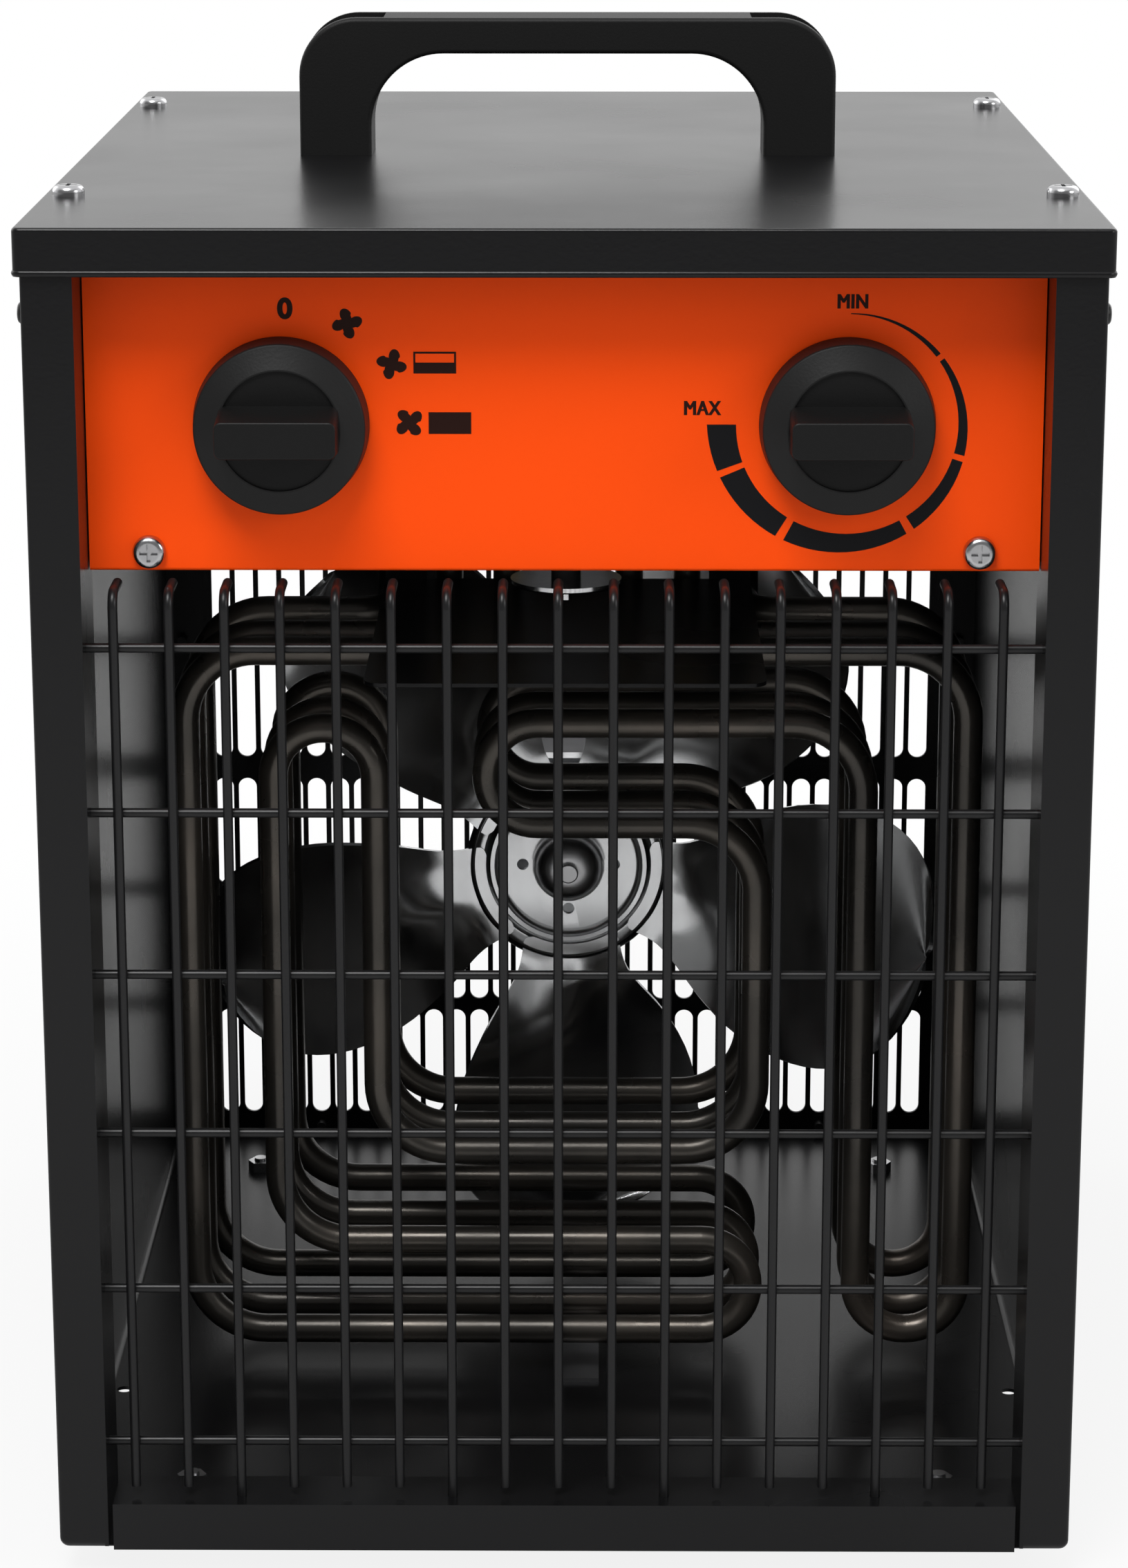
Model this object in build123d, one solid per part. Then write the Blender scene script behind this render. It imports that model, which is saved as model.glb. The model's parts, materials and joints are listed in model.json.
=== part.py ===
from build123d import *
import math
import os

os.makedirs("parts", exist_ok=True)

# Industrial fan heater, in millimetres. Z is up, the front faces -Y, and X runs to the right seen from the front.
# The origin is under the middle of the whole heater, at the level that the feet stand on.
# Depths are measured back from the front face of the casing's posts.

# Sheet metal casing
sheet = 1.0
casing_width = 267.0
casing_depth = 330.0
casing_height = 349.3
bend_radius = 3.0
upright_bend_radius = 1.2
post_width = 13.0
post_return_depth = 25.0
top_flange_width = 13.0
rear_flange_width = 12.0
rear_sill_height = 6.0
skirt_height = 13.0
skirt_side_gap = 1.3
shelf_depth = 18.4
drain_hole_radius = 2.15
drain_hole_side_inset = 6.0
drain_hole_depth = 106.0
side_rivet_below_top = 21.0
side_rivet_depth = 7.0
side_rivet_head_radius = 2.8
side_rivet_head_height = 1.4
side_rivet_shank_radius = 1.6
side_rivet_grip = 2.5

# Rubber feet
foot_height = 8.0
foot_radius = 11.0
foot_taper = 1.5
foot_side_inset = 31.5
foot_inset = 39.5
foot_recess_radius = 5.0
foot_recess_depth = 4.0

# Lid and carrying handle
lid_gap = 0.5
lid_flange = 12.0
lid_corner_radius = 2.0
lid_edge_radius = 0.9
lid_screw_side_inset = 6.7
lid_screw_front_depth = 63.0
lid_screw_rear_depth = 284.5
handle_span = 149.0
handle_height = 37.7
handle_depth = 22.0
handle_leg_width = 20.0
handle_grip_thickness = 9.8
handle_outer_radius = 16.0
handle_inner_radius = 20.0
handle_wall = 3.0
handle_channel_end = 51.0
handle_channel_slant = 6.0
handle_edge_radius = 1.2

# Control panel, knobs and what they turn
panel_recess = 18.0
panel_height = 85.0
panel_bottom_above_floor = 261.0
panel_lip = 10.0
panel_side_gap = 0.3
panel_screw_inset = 15.5
panel_screw_rise = 5.0
knob_spacing = 142.0
knob_rise = 37.7
knob_base_radius = 22.2
knob_rim_radius = 21.5
knob_disc_radius = 15.5
knob_skirt_height = 8.0
knob_cone_height = 2.5
knob_disc_recess = 0.8
knob_bar_length = 30.0
knob_bar_height = 14.5
knob_bar_root = 12.6
knob_bar_tip = 9.2
knob_bar_corner = 1.8
knob_panel_gap = 1.0
knob_wall = 1.8
knob_boss_radius = 6.0
knob_rim_edge = 0.8
knob_disc_land = 0.4
knob_bar_edge = 0.5
shaft_radius = 3.0
shaft_clearance = 0.05
shaft_panel_clearance = 2.0
switch_width = 34.0
switch_length = 28.0
thermostat_width = 42.0
thermostat_height = 30.0
thermostat_length = 26.0
shaft_end_wall = 3.0
switch_corner_radius = 3.0
thermostat_corner_radius = 2.0
bellows_radius = 12.0
bellows_length = 5.0
blade_half_width = 3.15
blade_half_thickness = 0.4
blade_length = 8.0
thermostat_blade_inset = 5.0

# Plate between the controls and the air channel, and the shield below it
partition_lip = 12.0
partition_side_flange = 10.0
partition_gap = 0.4
shield_width = 106.5
shield_front_depth = 52.0
shield_leg_gap = 11.0
shield_drop = 38.5
shield_corner_radius = 5.0
shield_tab_width = 12.0
shield_flange = 12.0
cutout_depth = 90.0
cutout_drop = 18.0
cutout_disc_radius = 15.0
cutout_disc_thickness = 1.6
cutout_stem_radius = 4.0
cutout_screw_drop = 6.0
cutout_body_radius = 8.0
cutout_body_height = 11.0
cutout_blade_inset = 2.0
cutout_disc_edge = 0.6

# Heating elements, as heights above the casing's underside
element_radius = 4.1
element_depths = {"front": 120.0, "middle": 141.0, "rear": 172.0}
element_leg_x = {"front": 18.0, "middle": 35.0, "rear": 52.0}
element_leg_straight = 5.0
element_top_height = 216.6
element_low_height = 14.4
element_left_gap = 26.5
element_right_gap = 21.0
element_inner_half = 53.8
element_corner_radius = 20.0
element_leg_radius = 9.0
element_return_height = 41.9
element_inner_low_height = 69.5
element_inner_high_height = 166.6
element_upper_height = 195.8
element_left_loop_inset = 24.5
element_left_loop_width = 28.7
element_left_loop_height = 194.3
element_bottom_u_right = 52.5
element_inner_u_left = 22.5
element_right_loop_width = 29.0
element_right_loop_height = 14.7
element_end_rise = 10.0
bushing_across_flats = 14.0
bushing_height = 5.0
bushing_neck_radius = 6.2
bushing_nut_height = 4.0
bushing_wall_gap = 0.1
terminal_insulator_radius = 3.4
terminal_insulator_height = 8.0
terminal_insulator_edge = 0.8
terminal_pin_radius = 1.6
terminal_pin_height = 10.0
comb_thickness = 1.2
comb_foot = 12.0
comb_margin = 8.0
comb_corner_radius = 3.0
comb_hole_gap = 0.2
comb_x = -2.0

# Front guard of welded wires
guard_side_gap = 8.0
guard_pitch = 14.0
guard_shift = -1.5
guard_wire_radius = 1.25
guard_bar_radius = 1.2
guard_wire_depth = 6.7
guard_weld = 0.3
guard_top_height = 257.5
guard_top_reach = 14.0
guard_bend_radius = 4.0
guard_low_gap = 2.5
guard_peg_step = 4
guard_peg_drop = 5.0
guard_bars = 6
guard_first_bar_height = 27.5
guard_bar_pitch = 43.1
guard_end_reach = 2.0
guard_hole_gap = 0.15

# Rear grille
slot_side_margin = 15.0
slot_pitch = 7.65
slot_width = 6.0
slot_height = 36.3
slot_row_gap = 3.9
slot_wide_gap = 7.4
slot_rows_below_gap = 3
slot_rows_above_gap = 2
slot_first_bottom = 7.8
grille_plain_half = 27.0
grille_side_gap = 0.5
grille_screw_rows = (52.0, 172.0, 292.0)
grille_sill_screw_inset = 49.5

# Fan and motor
fan_height = 126.5
fan_radius = 115.0
fan_hub_radius = 26.0
fan_hub_thickness = 2.0
fan_blades = 5
fan_blade_first_angle = 272.0
fan_blade_half_width = 39.0
fan_blade_tip_half = 28.0
fan_blade_root_half = 9.0
fan_blade_root_start = 15.6
fan_blade_neck = 28.6
fan_blade_belly = 76.0
fan_blade_shoulder = 110.5
fan_blade_thickness = 1.2
fan_blade_pitch = 22.0
fan_hub_depth = 220.0
fan_nut_radius = 11.0
fan_nut_height = 9.0
fan_nut_round = 7.6
fan_nut_proud_shaft = 2.0
motor_size = 56.0
motor_front_depth = 241.0
motor_bracket_plate = 2.0
motor_bracket_depth = 7.0
motor_bracket_bore = 26.0
motor_corner_radius = 5.0
motor_shaft_tail = 3.0
motor_shaft_edge = 0.5
motor_bolt_head_radius = 2.8
motor_bolt_head_height = 2.0
stator_length = 30.0
stator_bore_radius = 16.5
rotor_radius = 16.0
rotor_end_gap = 1.0
winding_inner_radius = 17.5
winding_outer_radius = 24.5
winding_length = 4.5
bearing_radius = 6.0
motor_bolt_radius = 1.5
motor_bolt_spacing = 47.0
mount_sheet = 1.2
mount_leg_half = 31.0
mount_foot_width = 16.0
mount_height = 64.0
mount_screw_x = 20.0
mount_screw_rise = 24.0
mount_shaft_hole = 10.0

# Thermostat sensing bulb and its capillary
bulb_radius = 3.0
bulb_length = 72.0
bulb_depth = 300.0
bulb_drop = 26.0
bulb_left = -30.0
capillary_radius = 0.8
capillary_bend = 8.0
capillary_hole_radius = 3.0
capillary_run_x = 62.0
capillary_first_run = 40.0
capillary_slope_end = 60.0
capillary_rise = 14.0
bulb_clip_width = 8.0
bulb_clip_spacing = 44.0
bulb_clip_flange = 14.0

# Wiring points
block_length = 62.0
block_width = 20.0
block_height = 16.0
block_x = -55.0
block_depth = 268.0
block_ways = 5
block_hole_radius = 2.4
block_hole_offset = 5.0
block_wire_radius = 2.2
block_wire_rise = 6.0
block_screw_radius = 2.3
block_screw_low = 2.4
block_screw_high = 7.0
lead_radius = 2.5
lead_x = 24.0
lead_bend = 12.0
lead_depth = 318.0
lead_rise_above_plate = 24.0
lead_start_shift = 6.0
lead_first_rise = 22.0
lead_second_rise = 42.0
grommet_radius = 5.0
grommet_flange = 1.5
grommet_rim = 2.0
gland_side_inset = 41.5
gland_height = 306.0
gland_bore = 5.2
gland_thread_radius = 8.0
gland_flats = 22.0
gland_hex_length = 5.0
gland_dome_length = 16.0
gland_tip_radius = 7.4
gland_nut_length = 4.0
gland_thread_overrun = 3.0
gland_shoulder = 1.0

# Screws
screw_hole_gap = 0.15
pan_head_radius = 4.2
pan_head_height = 2.8
m4_radius = 2.0
m4_nut_flats = 7.0
m4_nut_height = 3.2
m3_radius = 1.5
m3_nut_flats = 5.5
m3_nut_height = 2.4
m3_head_radius = 2.8
m3_head_height = 2.0
rear_screw_length = 6.0
lid_screw_length = 8.0
panel_screw_length = 7.0
nut_overrun = 1.0
handle_screw_radius = 2.5
handle_screw_depth = 14.0
recess_arm = 4.6
recess_width = 1.0
recess_depth = 1.4

# Heights and depths that follow from the sizes above
casing_bottom = foot_height
casing_top = casing_bottom + casing_height
floor_top = casing_bottom + sheet
lid_top = casing_top + sheet
half_width = casing_width / 2
inner_half = half_width - sheet
post_inner = half_width - post_width
return_inner = post_inner
knob_height = knob_skirt_height + knob_cone_height + knob_bar_height - knob_disc_recess
knob_proud = knob_height + knob_panel_gap - panel_recess
gland_proud = gland_hex_length + gland_dome_length
heater_depth = casing_depth + sheet
front_y = knob_proud - (heater_depth + knob_proud + gland_proud) / 2
rear_y = front_y + casing_depth
panel_bottom = casing_bottom + panel_bottom_above_floor
partition_bottom = panel_bottom + sheet
partition_top = partition_bottom + sheet
knob_z = panel_bottom + knob_rise
fan_z = casing_bottom + fan_height
middle_y = front_y + heater_depth / 2
shield_z = partition_bottom - shield_drop
element_left = half_width - element_left_gap
element_right = half_width - element_right_gap
guard_wires = int((post_inner - guard_side_gap) * 2 / guard_pitch) + 1
slot_columns = int(((half_width - slot_side_margin) * 2 - slot_width) / slot_pitch) + 1
gland_x = gland_side_inset - half_width
element_leg_depth = element_depths["rear"] + element_leg_radius * 2 + element_leg_straight
shield_rear_depth = element_leg_depth - shield_leg_gap
skirt_half = post_inner - skirt_side_gap
skirt_top = casing_bottom + skirt_height


def at_depth(depth):
    """Y of a point that lies this far behind the posts' front face."""
    return front_y + depth


def block(x0, x1, y0, y1, z0, z1):
    """Box between two opposite corners."""
    middle = Pos((x0 + x1) / 2, (y0 + y1) / 2, (z0 + z1) / 2)
    return middle * Box(abs(x1 - x0), abs(y1 - y0), abs(z1 - z0))


def rod_x(radius, y, z, x0, x1):
    return Pos((x0 + x1) / 2, y, z) * Rot(0, 90, 0) * Cylinder(radius, abs(x1 - x0))


def rod_y(radius, x, z, y0, y1):
    return Pos(x, (y0 + y1) / 2, z) * Rot(90, 0, 0) * Cylinder(radius, abs(y1 - y0))


def rod_z(radius, x, y, z0, z1):
    return Pos(x, y, (z0 + z1) / 2) * Cylinder(radius, abs(z1 - z0))


def hexagon(flats, height):
    """Hexagonal prism standing on Z = 0."""
    corner_radius = flats / 2 / math.cos(math.pi / 6)
    return extrude(RegularPolygon(corner_radius, 6), height)


def nut(flats, height, hole):
    return hexagon(flats, height) - rod_z(hole, 0, 0, 0, height)


def cross_recess():
    """Cross slot cut down from Z = 0."""
    arm = block(-recess_arm / 2, recess_arm / 2, -recess_width / 2, recess_width / 2, -recess_depth, 0)
    return arm + Rot(0, 0, 90) * arm


def pan_screw(radius, length, head_radius=pan_head_radius, head_height=pan_head_height):
    """Pan head screw whose head sits on Z = 0 and whose shank points down."""
    head = Cylinder(head_radius, head_height, align=(Align.CENTER, Align.CENTER, Align.MIN))
    head = fillet(head.edges().sort_by(Axis.Z)[-1], head_height * 0.6)
    head -= Pos(0, 0, head_height) * cross_recess()
    return head + rod_z(radius, 0, 0, -length, 0)


def bent_tube(points, radii, radius):
    """Round bar along straight runs joined by tangent arcs."""
    path = FilletPolyline(*points, radius=radii)
    section = Plane(origin=path @ 0, z_dir=path % 0) * Circle(radius)
    tube = sweep(section, path=path)
    share = tube.volume / (math.pi * radius**2 * path.length)
    print(f"bar radius {radius}: length {path.length:.1f}, volume over section times length {share:.4f}")
    return tube


def save(name, shape):
    """Write one node. A list of pieces becomes one group of separate solids."""
    if isinstance(shape, (list, tuple)):
        pieces = []
        for item in shape:
            pieces.extend(item.solids())
        shape = Compound(children=pieces)
    shape.label = name
    export_step(shape, f"parts/{name}.step")


# Where the fasteners go
foot_places = [
    (side * (half_width - foot_side_inset), at_depth(depth))
    for side in (-1, 1)
    for depth in (foot_inset, heater_depth - foot_inset)
]
lid_screw_places = [
    (side * (half_width + lid_gap + sheet - lid_screw_side_inset), at_depth(depth))
    for side in (-1, 1)
    for depth in (lid_screw_front_depth, lid_screw_rear_depth)
]
panel_screw_places = [
    (side * (return_inner - panel_screw_inset), panel_bottom + panel_screw_rise) for side in (-1, 1)
]
grille_screw_places = [
    (side * (half_width - rear_flange_width / 2), casing_bottom + rise)
    for side in (-1, 1)
    for rise in grille_screw_rows
]
grille_screw_places += [
    (side * (half_width - grille_sill_screw_inset), casing_bottom + sheet + rear_sill_height / 2) for side in (-1, 1)
]
motor_bolt_places = [
    (i * motor_bolt_spacing / 2, fan_z + j * motor_bolt_spacing / 2) for i in (-1, 1) for j in (-1, 1)
]
mount_screw_places = [
    (i * mount_screw_x, fan_z + j * mount_screw_rise) for i in (-1, 1) for j in (-1, 1)
]
handle_screw_x = (handle_span - handle_leg_width) / 2
guard_x = [guard_shift + (i - (guard_wires - 1) / 2) * guard_pitch for i in range(guard_wires)]
guard_peg_x = guard_x[guard_peg_step // 2::guard_peg_step]
guard_bar_z = [casing_bottom + guard_first_bar_height + i * guard_bar_pitch for i in range(guard_bars)]
guard_wire_y = at_depth(guard_wire_depth)
guard_bar_y = guard_wire_y + guard_wire_radius + guard_bar_radius - guard_weld
leg_y = at_depth(element_leg_depth)
shield_tab_x = shield_width / 2 - shield_tab_width / 2
shield_screw_y = at_depth(shield_rear_depth) - sheet - shield_flange / 2


def casing():
    """Folded floor, side walls, front posts with returns, front skirt with its shelf, and rear flanges."""
    body = block(-half_width, half_width, front_y, rear_y, casing_bottom, casing_top)
    body = fillet(body.edges().filter_by(Axis.Z), upright_bend_radius)
    low_edges = body.edges().filter_by(Axis.Y).group_by(Axis.Z)[0]
    body = fillet(low_edges, bend_radius)
    room = block(-inner_half, inner_half, front_y + sheet, rear_y - sheet, floor_top, casing_top - sheet)
    room = fillet(room.edges().filter_by(Axis.Y).group_by(Axis.Z)[0], bend_radius - sheet)
    body -= room
    flange_inner = half_width - top_flange_width
    body -= block(-flange_inner, flange_inner, front_y, rear_y, floor_top + rear_sill_height, casing_top)
    body -= block(-post_inner, post_inner, front_y, front_y + sheet, floor_top, casing_top)
    for side in (-1, 1):
        body += block(side * return_inner, side * (return_inner + sheet), front_y,
                      at_depth(post_return_depth), floor_top, casing_top - sheet)
        body -= rod_x(side_rivet_shank_radius + screw_hole_gap, at_depth(side_rivet_depth),
                      casing_top - side_rivet_below_top, side * inner_half, side * half_width)
        body -= rod_z(drain_hole_radius, side * (half_width - drain_hole_side_inset), at_depth(drain_hole_depth),
                      casing_bottom, floor_top)
    body += block(-skirt_half, skirt_half, front_y, front_y + sheet, casing_bottom, skirt_top)
    body += block(-skirt_half, skirt_half, front_y, at_depth(shelf_depth), skirt_top - sheet, skirt_top)
    for x in guard_peg_x:
        body -= rod_z(guard_wire_radius + guard_hole_gap, x, guard_wire_y, skirt_top - sheet, skirt_top)
    for z in guard_bar_z:
        body -= rod_x(guard_bar_radius + guard_hole_gap, guard_bar_y, z, -half_width + sheet * 2,
                      half_width - sheet * 2)
    for x, y in foot_places:
        body -= rod_z(m4_radius + screw_hole_gap, x, y, casing_bottom, floor_top)
    for x, y in lid_screw_places:
        body -= rod_z(m4_radius + screw_hole_gap, x, y, casing_top - sheet, casing_top)
    for x, z in grille_screw_places:
        body -= rod_y(m3_radius + screw_hole_gap, x, z, rear_y - sheet, rear_y)
    return body


def lid():
    """Flat cover with a flange down all round."""
    half = half_width + lid_gap + sheet
    front = front_y - lid_gap - sheet
    rear = front_y + heater_depth + lid_gap + sheet
    shell = block(-half, half, front, rear, lid_top - lid_flange, lid_top)
    shell = fillet(shell.edges().filter_by(Axis.Z), lid_corner_radius)
    shell = fillet(shell.faces().sort_by(Axis.Z)[-1].edges(), lid_edge_radius)
    inside = block(-half + sheet, half - sheet, front + sheet, rear - sheet, lid_top - lid_flange, casing_top)
    inside = fillet(inside.edges().filter_by(Axis.Z), lid_corner_radius - sheet)
    shell -= inside
    for x, y in lid_screw_places:
        shell -= rod_z(m4_radius + screw_hole_gap, x, y, casing_top, lid_top)
    for side in (-1, 1):
        shell -= rod_z(handle_screw_radius + screw_hole_gap, side * handle_screw_x, middle_y, casing_top, lid_top)
    return shell


def handle():
    """Moulded arch with an open channel along the outside of its legs and corners."""
    half = handle_span / 2
    inner = half - handle_leg_width
    top = lid_top + handle_height
    grip_low = top - handle_grip_thickness
    y0 = middle_y - handle_depth / 2
    y1 = middle_y + handle_depth / 2
    arch = block(-half, half, y0, y1, lid_top, top)
    arch = fillet(arch.edges().filter_by(Axis.Y).group_by(Axis.Z)[-1], handle_outer_radius)
    gap = block(-inner, inner, y0, y1, lid_top, grip_low)
    gap = fillet(gap.edges().filter_by(Axis.Y).group_by(Axis.Z)[-1], handle_inner_radius)
    low_limit = lid_top + handle_edge_radius / 2
    arch -= gap
    long_edges = [e for e in arch.edges()
                  if abs(abs(e.center().Y - middle_y) - handle_depth / 2) < 0.01 and e.center().Z > low_limit]
    arch = fillet(long_edges, handle_edge_radius)
    for side in (-1, 1):
        channel = block(side * half, side * (half - handle_leg_width + handle_wall * 2), y0 + handle_wall,
                        y1 - handle_wall, lid_top + handle_wall, top)
        sweep_back = side * (handle_channel_end - handle_channel_slant)
        with_corner = make_face(Polyline(
            (side * half, grip_low - handle_inner_radius),
            (side * (inner + handle_wall * 2), grip_low - handle_inner_radius),
            (side * (inner + handle_wall), grip_low - handle_inner_radius * 0.3),
            (side * (inner - handle_inner_radius * 0.1), grip_low + handle_wall),
            (sweep_back, grip_low + handle_wall),
            (side * handle_channel_end, top),
            (side * half, top),
            close=True,
        ))
        corner = extrude(Plane.XZ.offset(-(y0 + handle_wall)) * with_corner, -(handle_depth - handle_wall * 2))
        arch -= channel & block(side * half, side * (inner + handle_wall * 2), y0, y1, lid_top, grip_low)
        arch -= corner
        arch -= rod_z(handle_screw_radius + screw_hole_gap, side * handle_screw_x, middle_y,
                      lid_top, lid_top + handle_screw_depth)
    return arch


def control_panel():
    """Painted front panel with a lip folded back along its bottom."""
    half = return_inner - panel_side_gap
    face_y = at_depth(panel_recess)
    panel = block(-half, half, face_y, face_y + sheet, panel_bottom, panel_bottom + panel_height)
    panel += block(-half, half, face_y, face_y + panel_lip, panel_bottom, panel_bottom + sheet)
    front_low_edge = panel.edges().filter_by(Axis.X).sort_by(lambda e: e.center().Y + e.center().Z)[0]
    panel = fillet(front_low_edge, sheet * 0.9)
    for side in (-1, 1):
        panel -= rod_y(shaft_radius + shaft_panel_clearance, side * knob_spacing / 2, knob_z,
                       face_y, face_y + sheet)
    for x, z in panel_screw_places:
        panel -= rod_y(m4_radius + screw_hole_gap, x, z, face_y, face_y + sheet)
    return panel


def knob(side):
    """Round knob with a shallow cone, a recessed disc and a tapered grip bar, hollow behind."""
    base = Plane(origin=(side * knob_spacing / 2, at_depth(panel_recess) - knob_panel_gap, knob_z),
                 x_dir=(1, 0, 0), z_dir=(0, -1, 0))
    rim = knob_skirt_height
    face = rim + knob_cone_height
    profile = make_face(Polyline(
        (0, 0), (knob_base_radius, 0), (knob_rim_radius, rim), (knob_disc_radius, face), (0, face), close=True))
    body = revolve(Plane.XZ * profile, Axis.Z)
    circles = body.edges().filter_by(GeomType.CIRCLE)
    body = fillet([e for e in circles if abs(e.center().Z - rim) < 0.1], knob_rim_edge)
    floor = face - knob_disc_recess
    body -= Pos(0, 0, (face + floor) / 2) * Cylinder(knob_disc_radius - knob_disc_land, face - floor)
    hollow = floor - knob_wall * 2
    inner = Cylinder(knob_rim_radius - knob_wall, hollow, align=(Align.CENTER, Align.CENTER, Align.MIN))
    inner -= Cylinder(knob_boss_radius, hollow, align=(Align.CENTER, Align.CENTER, Align.MIN))
    body -= inner
    root = Pos(0, 0, floor) * RectangleRounded(knob_bar_length, knob_bar_root, knob_bar_corner)
    tip = Pos(0, 0, floor + knob_bar_height) * RectangleRounded(knob_bar_length, knob_bar_tip, knob_bar_corner)
    bar = loft([root, tip])
    body += fillet(bar.edges().group_by(Axis.Z)[-1], knob_bar_edge)
    body -= rod_z(shaft_radius, 0, 0, 0, hollow)
    return base * body


def knob_shaft(side, body_length):
    """Shaft from the knob's socket into the body of the switch or thermostat."""
    face_y = at_depth(panel_recess)
    hollow = knob_skirt_height + knob_cone_height - knob_disc_recess - knob_wall * 2
    rear = face_y + sheet + body_length - shaft_end_wall
    return rod_y(shaft_radius, side * knob_spacing / 2, knob_z, face_y - knob_panel_gap - hollow, rear)


def shaft_bore(side, body_length):
    face_y = at_depth(panel_recess) + sheet
    rear = face_y + body_length - shaft_end_wall + shaft_clearance * 2
    return rod_y(shaft_radius + shaft_clearance, side * knob_spacing / 2, knob_z, face_y, rear)


def blade_terminal(x, y, z, length):
    """Flat push-on blade that points backwards from Y = y."""
    return block(x - blade_half_width, x + blade_half_width, y, y + length,
                 z - blade_half_thickness, z + blade_half_thickness)


def selector_switch():
    """Rotary switch block with its blade terminals behind."""
    x = -knob_spacing / 2
    y0 = at_depth(panel_recess) + sheet
    y1 = y0 + switch_length
    half = switch_width / 2
    body = block(x - half, x + half, y0, y1, knob_z - half, knob_z + half)
    body = fillet(body.edges().filter_by(Axis.Y), switch_corner_radius)
    for i in (-1, 0, 1):
        for j in (-1, 1):
            blade_x = x + i * half / 2
            blade_z = knob_z + j * half / 2
            body += blade_terminal(blade_x, y1, blade_z, blade_length)
    return body - shaft_bore(-1, switch_length)


def thermostat_body():
    """Thermostat block with a round bellows housing behind and two blade terminals."""
    x = knob_spacing / 2
    y0 = at_depth(panel_recess) + sheet
    y1 = y0 + thermostat_length
    body = block(x - thermostat_width / 2, x + thermostat_width / 2, y0, y1,
                 knob_z - thermostat_height / 2, knob_z + thermostat_height / 2)
    body = fillet(body.edges().filter_by(Axis.Y), thermostat_corner_radius)
    body += rod_y(bellows_radius, x, knob_z, y1, y1 + bellows_length)
    for j in (-1, 1):
        blade_x = x + j * (thermostat_width / 2 - thermostat_blade_inset)
        body += blade_terminal(blade_x, y1, knob_z, blade_length)
    return body - shaft_bore(1, thermostat_length)


def capillary_points():
    x = knob_spacing / 2
    start_y = at_depth(panel_recess) + sheet + thermostat_length + bellows_length
    bulb_z = partition_bottom - bulb_drop
    bulb_right = bulb_left + bulb_length
    return [
        (x, start_y, knob_z),
        (x, start_y + capillary_first_run, knob_z),
        (capillary_run_x, at_depth(bulb_depth - capillary_slope_end), partition_top + capillary_rise),
        (capillary_run_x, at_depth(bulb_depth), partition_top + capillary_rise),
        (capillary_run_x, at_depth(bulb_depth), bulb_z),
        (bulb_right, at_depth(bulb_depth), bulb_z),
    ]


def thermostat_capillary():
    return bent_tube(capillary_points(), [capillary_bend] * 4, capillary_radius)


def thermostat_bulb():
    bulb_z = partition_bottom - bulb_drop
    bulb = rod_x(bulb_radius, at_depth(bulb_depth), bulb_z, bulb_left, bulb_left + bulb_length)
    return fillet(bulb.edges(), bulb_radius * 0.6)


def bulb_clips():
    """Hangers that hold the bulb under the plate."""
    bulb_z = partition_bottom - bulb_drop
    y = at_depth(bulb_depth)
    middle = bulb_left + bulb_length / 2
    ring = bulb_radius + sheet
    clips = []
    for side in (-1, 1):
        x = middle + side * bulb_clip_spacing / 2
        x0 = x - bulb_clip_width / 2
        x1 = x + bulb_clip_width / 2
        clip = rod_x(ring, y, bulb_z, x0, x1)
        clip += block(x0, x1, y - ring, y - ring + sheet, bulb_z, partition_bottom)
        clip += block(x0, x1, y - ring, y - ring + bulb_clip_flange, partition_bottom - sheet, partition_bottom)
        clip -= rod_x(bulb_radius, y, bulb_z, x0, x1)
        clips.append(clip)
    return clips


def partition_plate():
    """Floor of the control space, folded up at the front and the sides."""
    wide = inner_half - partition_gap
    narrow = return_inner - panel_side_gap
    y0 = at_depth(panel_recess) + sheet
    y_notch = at_depth(post_return_depth) + partition_gap
    y1 = rear_y - sheet - partition_gap
    plate = block(-wide, wide, y_notch, y1, partition_bottom, partition_top)
    plate += block(-narrow, narrow, y0, y_notch, partition_bottom, partition_top)
    plate += block(-narrow, narrow, y0, y0 + sheet, partition_bottom, partition_top + partition_lip)
    for side in (-1, 1):
        plate += block(side * wide, side * (wide - sheet), y_notch, y1, partition_bottom,
                       partition_top + partition_side_flange)
        for x in element_leg_x.values():
            plate -= rod_z(bushing_neck_radius + bushing_wall_gap, side * x, leg_y, partition_bottom, partition_top)
        plate -= rod_z(m3_radius + screw_hole_gap, side * shield_tab_x, shield_screw_y,
                       partition_bottom, partition_top)
    for x, z in panel_screw_places:
        plate -= rod_y(m4_radius + screw_hole_gap, x, z, y0, y0 + sheet)
    plate -= rod_z(capillary_hole_radius, capillary_run_x, at_depth(bulb_depth), partition_bottom, partition_top)
    plate -= rod_z(grommet_radius, lead_x, at_depth(lead_depth), partition_bottom, partition_top)
    plate -= rod_z(cutout_stem_radius + screw_hole_gap, 0, at_depth(cutout_depth), partition_bottom, partition_top)
    return plate


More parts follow.
